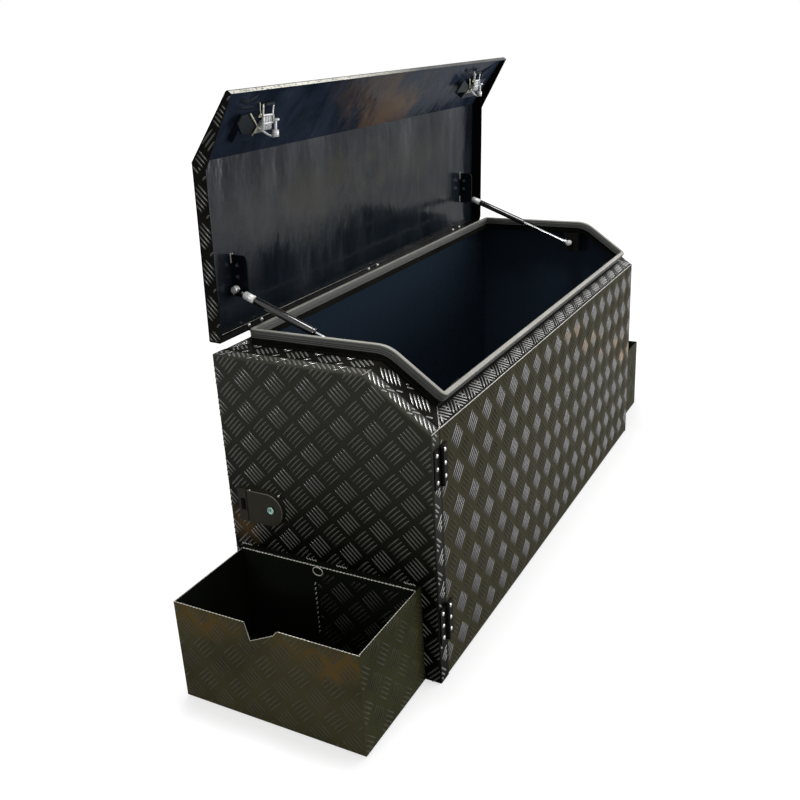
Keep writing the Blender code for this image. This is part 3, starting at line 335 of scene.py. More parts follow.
def slab(outline, place, low, high, ease=0.0003):
    """A plate over an outline, with its edges eased.

    The outline stands at four heights, and at the lowest and the highest each corner is drawn towards
    the middle by the ease. place is (origin, across, up, outwards).
    """
    origin, u_axis, v_axis, normal = place
    outline = np.asarray(outline, float)
    reach = outline - outline.mean(0)
    drawn = outline.mean(0) + reach * (1 - ease / np.linalg.norm(reach, axis=1, keepdims=True))
    rings = []
    for ring, level in ((drawn, low), (outline, low + ease), (outline, high - ease), (drawn, high)):
        rings.append(origin + ring[:, :1] * u_axis + ring[:, 1:] * v_axis + level * normal)
    return facing_out(np.concatenate(rings), ring_faces(4, len(outline)))


def round_box(low_u, high_u, low_v, high_v, radius, steps=3):
    """Corners of a rectangle with quarter circles of the radius at its corners."""
    angle = np.arange(steps + 1) * math.pi / 2 / steps
    corners = []
    for turn, (u, v) in enumerate((
        (high_u - radius, high_v - radius), (low_u + radius, high_v - radius),
        (low_u + radius, low_v + radius), (high_u - radius, low_v + radius),
    )):
        around = angle + turn * math.pi / 2
        corners.append(np.stack([u + radius * np.cos(around), v + radius * np.sin(around)], -1))
    return np.concatenate(corners)


def clip_to_outline(middle, along, half, outline, margin):
    """Shorten line stretches to a convex outline: each edge bounds the distance along the line."""
    low = -half.copy()
    high = half.copy()
    outline = np.asarray(outline, float)
    edges = np.roll(outline, -1, 0) - outline
    area = np.sum(outline[:, 0] * np.roll(outline[:, 1], -1) - outline[:, 1] * np.roll(outline[:, 0], -1))
    for corner, edge in zip(outline, edges):
        normal = np.array((edge[1], -edge[0])) * math.copysign(1, area)
        normal /= np.linalg.norm(normal)
        room = (corner - middle) @ normal - margin
        speed = along @ normal
        outward = speed > 1e-9
        inward = speed < -1e-9
        high = np.where(outward, np.minimum(high, room / np.where(outward, speed, 1)), high)
        low = np.where(inward, np.maximum(low, room / np.where(inward, speed, 1)), low)
        outside = ~outward & ~inward & (room < 0)
        high = np.where(outside, low - 1, high)
    return low, high


def tread_lines(outline, pitch, phase, settings, holes=(), leans=(0, 1)):
    """Lines of the five-bar pattern inside an outline.

    Groups of five parallel bars lie on a square lattice at 45 degrees to its rows; the groups of the
    second lattice, half a pitch away both ways, lean the other way. leans picks the lattices.
    """
    outline = np.asarray(outline, float)
    low = outline.min(0) - pitch
    high = outline.max(0) + pitch
    middles = []
    alongs = []
    for lean in leans:
        start = np.asarray(phase, float) + np.asarray(pitch) / 2 * lean
        first = np.floor((low - start) / pitch)
        last = np.ceil((high - start) / pitch)
        grid = [start[k] + np.arange(first[k], last[k]) * pitch[k] for k in (0, 1)]
        centres = np.stack(np.meshgrid(*grid), -1)
        along = np.array((1.0, 1.0 if lean == 0 else -1.0)) / math.sqrt(2)
        across = np.array((-along[1], along[0]))
        shifts = np.arange(-2, 3)[:, None] * settings.bar_spacing * across
        bars = (centres.reshape(-1, 1, 2) + shifts).reshape(-1, 2)
        middles.append(bars)
        alongs.append(np.tile(along, (len(bars), 1)))
    middle = np.concatenate(middles)
    along = np.concatenate(alongs)
    half = np.full(len(middle), settings.bar_length / 2)
    low, high = clip_to_outline(middle, along, half, outline, EDGE_CLEAR)
    for hole in holes:
        inside_low, inside_high = clip_to_outline(middle, along, half, hole, -EDGE_CLEAR)
        meets = (inside_high > np.maximum(inside_low, low)) & (inside_low < high)
        before = inside_low - low
        after = high - inside_high
        keep_before = meets & (before >= after)
        keep_after = meets & (before < after)
        high = np.where(keep_before, inside_low, high)
        low = np.where(keep_after, inside_high, low)
    kept = high - low > settings.bar_width * 1.5
    centre = middle + along * ((low + high) / 2)[:, None]
    return centre[kept], along[kept], ((high - low) / 2)[kept]


def tread_bars(lines, settings, place):
    """Raised bars on a plane.

    Along a bar, t runs from -1 to 1. Its half width is w = W * sqrt(1 - |t|^3) and its height is
    h = H * (1 - t^4), so it is a long lens; the section is an arch of five facets whose feet are sunk
    under the sheet. place is (origin, across, up, outwards) of the plane.
    """
    origin, u_axis, v_axis, normal = place
    centre, along, half = lines
    t = np.array((-1.0, -0.93, -0.6, 0.0, 0.6, 0.93, 1.0))
    width = settings.bar_width / 2 * np.sqrt(np.clip(1 - np.abs(t) ** 3, 0.04, 1))
    height = settings.bar_height * (1 - np.abs(t) ** 4)
    across = np.array((-1.0, -0.55, -0.12, 0.12, 0.55, 1.0))
    arch = np.array((0.0, 0.72, 1.0, 1.0, 0.72, 0.0))
    sink = np.array((1.0, 0.0, 0.0, 0.0, 0.0, 1.0)) * 0.0003
    stretch = np.clip(half / (settings.bar_length / 2), 0.35, 1)
    side = np.stack([-along[:, 1], along[:, 0]], 1)
    flat = (
        centre[:, None, None, :]
        + along[:, None, None, :] * (t[None, :, None] * half[:, None, None])[..., None]
        + side[:, None, None, :] * (width[None, :, None] * across[None, None, :])[..., None]
    )
    rise = height[None, :, None] * arch[None, None, :] * np.sqrt(stretch)[:, None, None] - sink
    points = origin + flat[..., :1] * u_axis + flat[..., 1:] * v_axis + rise[..., None] * normal
    faces = ring_faces(len(t), len(across))
    if np.dot(np.cross(u_axis, v_axis), normal) > 0:
        faces = faces[:, ::-1]
    return points.reshape(-1, 3), repeat_faces(faces, len(centre), len(t) * len(across))


def panel(place, outline, pitch, phase, holes=(), leans=(0, 1)):
    """A tread panel: its place, outline, lattice pitch and phase, the holes in it, and which leans it has."""
    settings = bpy.context.scene.toolbox_tread
    lines = tread_lines(outline, np.asarray(pitch, float), phase, settings, holes, leans)
    return tread_bars(lines, settings, place)


def nodes_of(name):
    """Start a node material; return it with its tree, its shader and the object coordinates."""
    finish = bpy.data.materials.new(name)
    finish.use_nodes = True
    tree = finish.node_tree
    shader = tree.nodes["Principled BSDF"]
    place = tree.nodes.new("ShaderNodeTexCoord").outputs["Object"]
    return finish, tree, shader, place


def noise(tree, place, scale, detail=3.0, roughness=0.55, stretch=None):
    """A noise texture over object coordinates, stretched along the axes where asked."""
    if stretch is not None:
        mapping = tree.nodes.new("ShaderNodeMapping")
        mapping.inputs["Scale"].default_value = stretch
        tree.links.new(place, mapping.inputs["Vector"])
        place = mapping.outputs["Vector"]
    texture = tree.nodes.new("ShaderNodeTexNoise")
    texture.inputs["Scale"].default_value = scale
    texture.inputs["Detail"].default_value = detail
    texture.inputs["Roughness"].default_value = roughness
    tree.links.new(place, texture.inputs["Vector"])
    return texture.outputs["Fac"]


def ramp(tree, value, stops):
    """A colour ramp with (position, colour) stops."""
    made = tree.nodes.new("ShaderNodeValToRGB")
    elements = made.color_ramp.elements
    while len(elements) < len(stops):
        elements.new(0.5)
    for element, (position, colour) in zip(elements, stops):
        element.position = position
        element.color = (*colour, 1)
    tree.links.new(value, made.inputs["Fac"])
    return made.outputs["Color"]


def spread(tree, value, low, high, from_low=0.3, from_high=0.7):
    """Map a value from one range to another, clamped."""
    made = tree.nodes.new("ShaderNodeMapRange")
    made.inputs["From Min"].default_value = from_low
    made.inputs["From Max"].default_value = from_high
    made.inputs["To Min"].default_value = low
    made.inputs["To Max"].default_value = high
    tree.links.new(value, made.inputs["Value"])
    return made.outputs["Result"]


def bump(tree, shader, height, strength, distance):
    """Feed a height to the shader's normal."""
    made = tree.nodes.new("ShaderNodeBump")
    made.inputs["Strength"].default_value = strength
    made.inputs["Distance"].default_value = distance
    tree.links.new(height, made.inputs["Height"])
    tree.links.new(made.outputs["Normal"], shader.inputs["Normal"])


def tone(shade, factor):
    """A colour made lighter or darker."""
    return tuple(min(1.0, channel * factor) for channel in shade)


def shaded(tree, shader, value, shade, *stops):
    """Colour a shader along a value; each stop is (position, factor on the shade)."""
    colours = ramp(tree, value, [(position, tone(shade, factor)) for position, factor in stops])
    tree.links.new(colours, shader.inputs["Base Color"])


def glossed(tree, shader, value, low, high):
    """Let a shader's roughness follow a value between two levels."""
    tree.links.new(spread(tree, value, low, high), shader.inputs["Roughness"])


def coat(name, shade, roughness, ior, mottle=1.6):
    """Glossy powder coat: cloudy colour and gloss, and a fine orange peel."""
    finish, tree, shader, place = nodes_of(name)
    shaded(tree, shader, noise(tree, place, 7.0, 4.0), shade, (0.32, 0.7), (0.52, 1.0), (0.72, mottle))
    glossed(tree, shader, noise(tree, place, 23.0), roughness * 0.8, roughness * 1.25)
    shader.inputs["IOR"].default_value = ior
    bump(tree, shader, noise(tree, place, 420.0, 2.0), 0.10, 0.0002)
    return finish


def math_node(tree, operation, first, second):
    """A math node over two sockets or numbers."""
    made = tree.nodes.new("ShaderNodeMath")
    made.operation = operation
    for slot, value in zip(made.inputs, (first, second)):
        if isinstance(value, float):
            slot.default_value = value
        else:
            tree.links.new(value, slot)
    return made.outputs[0]


def tinted(finish, other, mask):
    """Blend another tone into a finish's colour by a mask socket of its own tree."""
    tree = finish.node_tree
    shader = tree.nodes["Principled BSDF"]
    colour = shader.inputs["Base Color"].links[0].from_socket
    mixed = tree.nodes.new("ShaderNodeMix")
    mixed.data_type = "RGBA"
    mixed.inputs["B"].default_value = (*other, 1)
    tree.links.new(mask, mixed.inputs["Factor"])
    tree.links.new(colour, mixed.inputs["A"])
    tree.links.new(mixed.outputs["Result"], shader.inputs["Base Color"])
    return finish


def object_point(tree):
    """The object coordinates of a finish as one socket."""
    return tree.nodes["Texture Coordinate"].outputs["Object"]


def object_axes(finish):
    """The three object coordinates of a finish as sockets."""
    tree = finish.node_tree
    parts = tree.nodes.new("ShaderNodeSeparateXYZ")
    tree.links.new(object_point(tree), parts.inputs[0])
    return parts.outputs


def past(finish, axis, low, high, amount=1.0):
    """A mask that goes from nil to an amount between two levels of an object axis."""
    return spread(finish.node_tree, object_axes(finish)[axis], 0.0, amount, low, high)


def patch(finish, place, reach, strength=1.0):
    """A soft cloud: its mask falls with the length of (point - place) / reach plus a share of noise."""
    tree = finish.node_tree
    point = object_point(tree)
    mapping = tree.nodes.new("ShaderNodeMapping")
    mapping.vector_type = "TEXTURE"
    mapping.inputs["Location"].default_value = place
    mapping.inputs["Scale"].default_value = reach
    tree.links.new(point, mapping.inputs["Vector"])
    length = tree.nodes.new("ShaderNodeVectorMath")
    length.operation = "LENGTH"
    tree.links.new(mapping.outputs["Vector"], length.inputs[0])
    uneven = spread(tree, noise(tree, point, 13.0, 4.0, 0.6), -0.45, 0.45)
    total = math_node(tree, "ADD", length.outputs["Value"], uneven)
    return spread(tree, total, strength, 0.0, 0.35, 1.05)


def box_inside(finish):
    """A mask for the folded sheet's inner faces.

    A point is inside where |y| is short of the sheet and z - min(0, (y - fold) * tan(slope)) is under it.
    """
    tree = finish.node_tree
    _, y, z = object_axes(finish)
    fall = math_node(tree, "MULTIPLY", math_node(tree, "SUBTRACT", y, FOLD_Y), math.tan(SLOPE))
    level = math_node(tree, "SUBTRACT", z, math_node(tree, "MINIMUM", fall, 0.0))
    under = spread(tree, level, 1.0, 0.0, BODY_HEIGHT - SHEET * 0.7, BODY_HEIGHT - SHEET * 0.4)
    reach = math_node(tree, "ABSOLUTE", y, 0.0)
    between = spread(tree, reach, 1.0, 0.0, HALF_WIDTH - SHEET * 0.7, HALF_WIDTH - SHEET * 0.4)
    return math_node(tree, "MULTIPLY", under, between)


def smooth_coat(name, shade, ior, reflection_lift):
    """Powder coat on smooth sheet: long cloudy streaks in gloss, painted reflection streaks in tone with the
    given lift on their light end, and a slight waviness.
    """
    finish = coat(name, shade, 0.17, ior, 1.5)
    tree = finish.node_tree
    shader = tree.nodes["Principled BSDF"]
    place = object_point(tree)
    long = noise(tree, place, 15.0, 5.0, 0.62, (1.0, 1.0, 0.30))
    # Painted reflection: the light end of the streaks.
    light = tuple(channel + reflection_lift for channel in tone(shade, 1.3))
    reflection_streaks = ramp(tree, long, [(0.34, tone(shade, 0.60)), (0.50, shade), (0.66, light)])
    tree.links.new(reflection_streaks, shader.inputs["Base Color"])
    glossed(tree, shader, long, 0.10, 0.30)
    bump(tree, shader, noise(tree, place, 26.0, 3.0, 0.5, (1.0, 1.0, 0.4)), 0.55, 0.0030)
    return finish


def metal(name, shade, roughness, grain=180.0, share=1.0):
    """Plated or bare metal with fine uneven gloss."""
    finish, tree, shader, place = nodes_of(name)
    speck = noise(tree, place, grain, 3.0)
    shaded(tree, shader, speck, shade, (0.25, 0.72), (0.5, 1.0), (0.8, 1.2))
    glossed(tree, shader, speck, roughness * 0.75, roughness * 1.35)
    shader.inputs["Metallic"].default_value = share
    bump(tree, shader, noise(tree, place, grain * 4, 2.0), 0.12, 0.0001)
    return finish


def rubber(name, shade):
    """Extruded rubber, dull, with a soft bloom."""
    finish, tree, shader, place = nodes_of(name)
    bloom = noise(tree, place, 14.0, 4.0)
    shaded(tree, shader, bloom, shade, (0.3, 0.78), (0.55, 1.0), (0.75, 1.25))
    glossed(tree, shader, bloom, 0.42, 0.60)
    bump(tree, shader, noise(tree, place, 900.0, 2.0), 0.15, 0.0001)
    return finish


# Coats and paints: the material's name, colour, roughness, index of refraction and mottle.
COATS = {
    # tray_side paints the tray's brown reflection on its sides; tray_inside is the plain dark coat.
    "tray_side": ("tray_side_coat", (0.034, 0.034, 0.015), 0.30, 1.06, 1.2),
    "tray_inside": ("tray_inside_coat", (0.0085, 0.0100, 0.0068), 0.30, 1.06, 1.2),
    # The rising front bars are a lit copy of the tread, a painted highlight; the falling ones are a shaded
    # copy.
    "front_tread": ("front_tread_coat", (0.100, 0.100, 0.112), 0.18, 1.75, 1.2),
    "falling_tread": ("falling_tread_coat", (0.030, 0.026, 0.013), 0.30, 1.16, 1.2),
    "door_tread": ("door_tread_coat", (0.036, 0.036, 0.028), 0.15, 1.62, 1.2),
    # The tray's side and front treads carry the tray's painted brown reflection tone.
    "tray_side_tread": ("tray_side_tread_coat", (0.036, 0.035, 0.018), 0.24, 1.22, 1.1),
    # The shoulder tread is a lit copy of the tread: a painted highlight.
    "shoulder_tread": ("shoulder_tread_coat", (0.150, 0.150, 0.140), 0.15, 2.3, 1.3),
    "tray_tread": ("tray_tread_coat", (0.062, 0.058, 0.036), 0.24, 1.16, 1.1),
    "inner_tread": ("inner_tread_coat", (0.026, 0.026, 0.020), 0.26, 1.35, 1.1),
    # The catch cases' outer faces carry the sloped face's painted bluish reflection.
    "case": ("case_coat", (0.0175, 0.0255, 0.0410), 0.30, 1.15, 1.2),
    "hinge": ("hinge_coat", (0.075, 0.078, 0.084), 0.22, 1.6, 1.3),
    # The lip's light colour is a painted reflection.
    "lip": ("lip_coat", (0.44, 0.43, 0.38), 0.35, 1.4, 1.3),
    "tube": ("tube_paint", (0.004, 0.004, 0.004), 0.15, 1.62, 1.6),
    "lock": ("lock_coat", (0.0275, 0.0255, 0.0155), 0.32, 1.20, 1.6),
    "cover": ("cover_coat", (0.032, 0.038, 0.043), 0.40, 1.15, 1.2),
    # gloss, bead, glint and fold are light colours that paint highlights on edges, welds and glint marks.
    "gloss": ("edge_highlight", (0.075, 0.072, 0.058), 0.22, 1.7, 1.2),
    "bead": ("bead_highlight", (0.110, 0.106, 0.090), 0.14, 2.3, 1.2),
    "glint": ("glint_bead", (0.50, 0.48, 0.41), 0.20, 1.9, 1.5),
    "fold": ("fold_highlight", (0.420, 0.415, 0.380), 0.20, 1.8, 1.3),
    # Bluish marks that paint the catch levers' reflection on the lid.
    "lever_reflection": ("lever_reflection_coat", (0.026, 0.033, 0.045), 0.40, 1.15, 1.2),
    "bracket": ("bracket_coat", (0.0075, 0.0100, 0.0130), 0.26, 1.12, 1.6),
    # A near-black paint for slabs of painted shade in recesses.
    "recess_shade": ("painted_recess_shade", (0.002, 0.002, 0.002), 0.5, 1.1, 1.2),
}

# Metals: the material's name, colour, roughness, grain of the gloss and share of bare metal.
METALS = {
    "zinc": ("bright_zinc", (0.62, 0.62, 0.60), 0.28, 180.0, 1.0),
    "silver": ("silver_collar", (0.86, 0.86, 0.84), 0.30, 200.0, 0.2),
    "plated": ("plated_catch", (0.66, 0.68, 0.68), 0.34, 260.0, 0.35),
    "wire": ("spring_wire", (0.90, 0.84, 0.62), 0.34, 300.0, 0.15),
    "rod": ("ground_rod", (0.50, 0.50, 0.50), 0.20, 60.0, 1.0),
    "barrel": ("barrel_metal", (0.40, 0.66, 0.58), 0.34, 180.0, 0.4),
}

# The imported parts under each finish.
CAD_FINISHES = {
    "body": ("body_wrap",),
    "coat": (
        "keeper_left", "keeper_right", "strut_left_body_bracket", "strut_right_body_bracket",
        "lid_hinge_left_fixed", "lid_hinge_middle_fixed", "lid_hinge_right_fixed",
        "door_hinge_upper_fixed", "door_hinge_lower_fixed",
        "door_hinge_upper_moving", "door_hinge_lower_moving",
    ),
    "hinge": ("lid_hinge_left_moving", "lid_hinge_middle_moving", "lid_hinge_right_moving"),
    "right_wall": ("right_end_wall",),
    "left_frame": ("left_end_frame",),
    "door": ("door_pan",),
    "seal": ("rim_seal", "door_seal"),
    "zinc": (
        "lid_latch_left_catch", "lid_latch_right_catch", "lid_latch_left_fork", "lid_latch_right_fork",
        "door_latch_tongue",
    ),
    "tube": ("strut_left_tube", "strut_right_tube"),
    "rod": ("strut_left_rod", "strut_right_rod"),
    "bracket": ("strut_left_lid_bracket", "strut_right_lid_bracket"),
    "lock": ("door_latch_case", "lid_latch_left_paddle", "lid_latch_right_paddle", "door_latch_paddle"),
    "barrel": ("door_latch_key_barrel",),
}

# Painted reflections in the coats, as soft clouds: each has its place, its reach along the axes and its
# strength.
DOOR_REFLECTIONS = [((DOOR_LOW.x, 0.190, 0.245), (0.05, 0.055, 0.040), 0.75)]
TRAY_REFLECTIONS = [
    ((LEFT_TRAY_LOW.x, y, z), (0.05, wide, tall), strength) for y, z, wide, tall, strength in (
        (0.150, 0.180, 0.060, 0.045, 0.75), (0.085, 0.178, 0.050, 0.030, 0.45),
        (-0.060, 0.180, 0.060, 0.035, 0.50), (-0.140, 0.160, 0.060, 0.045, 0.80),
    )
]
FRONT_REFLECTIONS = [
    ((x, -HALF_WIDTH, 0.480 - 0.386 * x), (0.085, 0.05, 0.032), 0.85) for x in (0.10, 0.22, 0.34, 0.46, 0.57)
]
INSIDE_REFLECTIONS = [
    ((-0.20, HALF_WIDTH, 0.800), (0.30, 0.1, 0.085), 0.75),
    ((0.18, HALF_WIDTH, 0.820), (0.34, 0.1, 0.070), 0.60),
]


def finish_cad(finish, *names):
    """Give CAD nodes a finish on every slot."""
    for name in names:
        for slot in nodes[name].material_slots:
            slot.material = finish


def add_painted_reflections(finish, colour, reflections):
    """Lay painted reflections, soft clouds of one colour, over a finish."""
    for place, reach, strength in reflections:
        tinted(finish, colour, patch(finish, place, reach, strength))
    return finish


def sheet_copy(name, node, plane_point, outwards, depth, finish):
    """Copy a CAD node's mesh, merged, with the faces on one plane set back to leave room for tread.

    A point on the plane (its distance along the normal is nil) moves back by the depth.
    """
    mesh = nodes[node].data.copy()
    mesh.name = name
    piece = bpy.data.objects.new(name, mesh)
    bpy.context.scene.collection.objects.link(piece)
    made = bmesh.new()
    made.from_mesh(mesh)
    bmesh.ops.remove_doubles(made, verts=made.verts, dist=0.00002)
    made.to_mesh(mesh)
    made.free()
    count = len(mesh.vertices)
    flat = np.empty(count * 3)
    mesh.vertices.foreach_get("co", flat)
    points = flat.reshape(-1, 3)
    distance = (points - plane_point) @ outwards
    points[np.abs(distance) < 0.0002] -= outwards * depth
    mesh.vertices.foreach_set("co", points.ravel())
    mesh.materials.clear()
    share_out(mesh, np.zeros(len(mesh.polygons)), finish)
    mesh.update()
    return piece


def share_out(mesh, index, *more):
    """Add more finishes to a mesh and give each face the one that its index names."""
    for finish in more:
        mesh.materials.append(finish)
    mesh.polygons.foreach_set("material_index", np.asarray(index).astype(np.int32))


def face_places(mesh):
    """The centres and the normals of a mesh's faces as arrays."""
    count = len(mesh.polygons)
    centres = np.empty(count * 3)
    normals = np.empty(count * 3)
    mesh.polygons.foreach_get("center", centres)
    mesh.polygons.foreach_get("normal", normals)
    return centres.reshape(-1, 3), normals.reshape(-1, 3)


class TOOLBOX_OT_finishes(bpy.types.Operator):
    """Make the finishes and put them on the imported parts"""

    bl_idname = "toolbox.finishes"
    bl_label = "Finish the parts"

    def execute(self, context):
        colours = context.scene.toolbox_finish
        # shade is the painted bluish reflection laid on the box's inner faces.
        shade = tuple(colours.inside)
        for key, values in COATS.items():
            finishes[key] = coat(*values)
        for key, values in METALS.items():
            finishes[key] = metal(*values)
        finishes["coat"] = coat("powder_coat", colours.coat, 0.26, 1.10)
        body = coat("body_coat", tone(colours.coat, 1.7), 0.28, 1.08, 1.2)
        tinted(body, shade, box_inside(body))
        # Painted olive reflection on the outer front face.
        front_reflection_mask = past(body, 1, -HALF_WIDTH + 0.0010, -HALF_WIDTH + 0.0006)
        finishes["body"] = tinted(body, colours.front, front_reflection_mask)
        # The end walls take the same painted bluish reflection on their inner faces.
        for key in ("right_wall", "left_frame"):
            wall = coat(key + "_coat", colours.coat, 0.26, 1.10)
            finishes[key] = tinted(wall, shade, box_inside(wall))
        # Painted reflection: the door is painted lighter towards the top, dark below z 0.20, with painted
        # brown reflections near the lock.
        door = coat("door_coat", (0.0022, 0.0022, 0.0018), 0.26, 1.10)
        tinted(door, (0.0360, 0.0365, 0.0280), past(door, 2, 0.20, 0.50))
        finishes["door"] = add_painted_reflections(door, (0.085, 0.052, 0.020), DOOR_REFLECTIONS)
        # The tray coat is a painted brown reflection, with painted brown reflection clouds.
        finishes["tray"] = add_painted_reflections(coat("tray_reflection_coat", colours.tray, 0.26, 1.06, 1.15), (0.104, 0.064, 0.020),
                                   TRAY_REFLECTIONS)
        finishes["tread"] = coat("tread_coat", colours.tread, 0.20, 1.60, 1.2)
        # Painted brown reflections on the rising front bars.
        add_painted_reflections(finishes["front_tread"], (0.300, 0.150, 0.045), FRONT_REFLECTIONS)
        # The lid's inner face: painted reflection streaks and clouds, with painted shade towards its lower
        # end.
        inside = smooth_coat("smooth_coat", (0.0125, 0.0175, 0.0250), 1.36, 0.014)
        tinted(inside, (0.0060, 0.0095, 0.0140), past(inside, 2, 0.84, 0.70, 0.8))
        finishes["inside"] = add_painted_reflections(inside, (0.036, 0.036, 0.031), INSIDE_REFLECTIONS)
        # The sloped inner face: painted bluish reflection with painted brown reflection clouds.
        slope = smooth_coat("sloped_reflection_coat", (0.0180, 0.0265, 0.0440), 1.15, 0.003)
        finishes["slope"] = add_painted_reflections(slope, (0.105, 0.066, 0.042), SLOPE_REFLECTIONS)
        # The lip's painted reflection fades to dark towards +x and is broken by dark specks.
        lip = finishes["lip"]
        tinted(lip, (0.012, 0.012, 0.011), past(lip, 0, -0.22, 0.10))
        tree = lip.node_tree
        specks = noise(tree, object_point(tree), 260.0, 3.0)
        tinted(lip, (0.020, 0.019, 0.016), spread(tree, specks, 0.0, 1.0, 0.56, 0.64))
        finishes["seal"] = rubber("seal_rubber_ribbed", colours.seal)
        # Painted shade in the grooves and a painted highlight on the crown.
        finishes["groove"] = rubber("seal_groove_shade", tone(colours.seal, 0.32))
        finishes["crown"] = rubber("seal_crown_highlight", (0.26, 0.25, 0.22))
        for key, names in CAD_FINISHES.items():
            finish_cad(finishes[key], *names)
        return {"FINISHED"}


def rectangle(low_u, high_u, low_v, high_v):
    """Corners of a rectangle."""
    return [(low_u, low_v), (high_u, low_v), (high_u, high_v), (low_u, high_v)]


def upright(outwards, reach):
    """The place of a standing wall that faces outwards, at its reach from the middle of the box."""
    return outwards * reach, np.cross(Z, outwards), Z, outwards


def hinge_holes(low_x, high_x):
    """The openings in a tread around the door's hinges, between two x."""
    return [rectangle(low_x, high_x, height - DOOR_HINGE_HALF, height + DOOR_HINGE_HALF)
            for height in DOOR_HINGE_HEIGHTS]


class TOOLBOX_OT_body_tread(bpy.types.Operator):
    """Raise the tread on the body's faces and shoulders"""

    bl_idname = "toolbox.body_tread"
    bl_label = "Body tread"

    def execute(self, context):
        end = HALF_LENGTH - EDGE_CLEAR
        bend = FOLD_RADIUS
        face = rectangle(-end, end, bend, FRONT_HEIGHT - bend / 2)
        holes = hinge_holes(-0.602, -0.575)
        # The rising bars take the lit copy of the tread, a painted highlight, and the falling bars the shaded
        # copy.
        for lean, label, finish in ((0, "rising", "front_tread"), (1, "falling", "falling_tread")):
            front = panel(upright(-Y, HALF_WIDTH), face, FRONT_PITCH, FRONT_PHASE, holes, (lean,))
            make_piece(f"front_tread_{label}", "box", finish, "tread_paint", front)
        face = rectangle(-end, end, bend, BODY_HEIGHT - bend)
        rear = panel(upright(Y, HALF_WIDTH), face, PLAIN_PITCH, PLAIN_PHASE)
        make_piece("rear_tread", "box", "tread", "tread_paint", rear)
        face = [(-HALF_WIDTH, 0), (HALF_WIDTH, 0), (HALF_WIDTH, BODY_HEIGHT), (FOLD_Y, BODY_HEIGHT),
                (-HALF_WIDTH, FRONT_HEIGHT)]
        right = panel(upright(X, HALF_LENGTH), face, PLAIN_PITCH, PLAIN_PHASE)
        make_piece("right_end_tread", "box", "tread", "tread_paint", right)
        rim_x = HALF_LENGTH - RIM_FROM_END + bend
        rim_front = S_FRONT + RIM_FROM_FRONT - bend
        rim_rear = S_REAR - RIM_FROM_REAR + bend
        low = S_FRONT + bend / 2
        high = S_REAR - bend
        ledge = [(-end, low), (end, low), (rim_x, rim_front), (-rim_x, rim_front)]
        back = [(-rim_x, rim_rear), (rim_x, rim_rear), (end, high), (-end, high)]
        strips = [
            panel(BODY_SLOPE, ledge, PLAIN_PITCH, (0.01, -0.135), leans=(0,)),
            panel(BODY_SLOPE, ledge, PLAIN_PITCH, (0.01, -0.135 - PLAIN_PITCH[1] / 2), leans=(1,)),
            panel(BODY_TOP, back, PLAIN_PITCH, (0.0, 0.20)),
        ]
        for sign in (-1, 1):
            outer, inner = sign * end, sign * rim_x
            shoulder = [(outer, low), (inner, rim_front), (inner, 0), (outer, 0)]
            strips.append(panel(BODY_SLOPE, shoulder, PLAIN_PITCH, (sign * 0.578, -0.030)))
            shoulder = [(outer, 0), (inner, 0), (inner, rim_rear), (outer, high)]
            strips.append(panel(BODY_TOP, shoulder, PLAIN_PITCH, (sign * 0.578, 0.030)))
        # The shoulder bars take the lit copy of the tread, a painted highlight.
        make_piece("shoulder_tread", "box", "shoulder_tread", "tread_paint", *strips)
        # A light bar along the front's top fold: a painted highlight.
        out = -Y + OFF_SLOPE
        out /= np.linalg.norm(out)
        sunk = FOLD_RADIUS * (1 / math.cos(math.pi / 4 - SLOPE / 2) - 1)
        along = np.linspace(-HALF_LENGTH + 0.002, HALF_LENGTH - 0.002, 61)[:, None] * X
        line = bar(FRONT_CORNER - out * sunk + along, Y, 0.0011, 0.0009, 6)
        make_piece("front_fold_highlight", "box", "fold", "tread_paint", line)
        return {"FINISHED"}


def seal_path(side, rise):
    """The closed line around the rim at a side step and a rise, with eased corners and bends.

    A line along the top at the rise n bends at the mitre point fold + n * (0, -tan(slope / 2), 1). Around
    it the line is (1 - t)^2 * A + 2 * t * (1 - t) * M + t^2 * B, from A before the mitre M to B behind it.
    """
    half = math.tan(SLOPE / 2)
    mitre = np.array((0.0, FOLD_Y - rise * half, BODY_HEIGHT + rise))
    front = S_FRONT + RIM_FROM_FRONT - side - rise * half
    rear = S_REAR - RIM_FROM_REAR + side + rise * half
    reach = HALF_LENGTH - RIM_FROM_END + side
    radius = max(0.0008, side + 0.0075)
    angle = np.linspace(0, math.pi / 2, 5)
    ahead = radius * (1 - np.sin(angle))
    aside = radius * (1 - np.cos(angle))
    ease = 0.022
    t = np.linspace(0, 1, 7)[:, None]
    bend = (1 - t) ** 2 * (mitre - UP_SLOPE * ease) + 2 * t * (1 - t) * mitre + t ** 2 * (mitre + Y * ease)
    high_corner = mitre + (rear - aside)[:, None] * Y + (reach - ahead)[:, None] * X
    low_corner = mitre + (front + aside)[:, None] * UP_SLOPE + (reach - ahead)[:, None] * X
    right = np.concatenate([low_corner, bend + reach * X, high_corner[::-1]])
    return np.concatenate([right, (right * (-1, 1, 1))[::-1]])


# The bands of the seal's section, counted from its foot, that lie in a groove; they take a darker rubber, a
# painted shade.
SEAL_GROOVES = (0, 3, 6, 10)


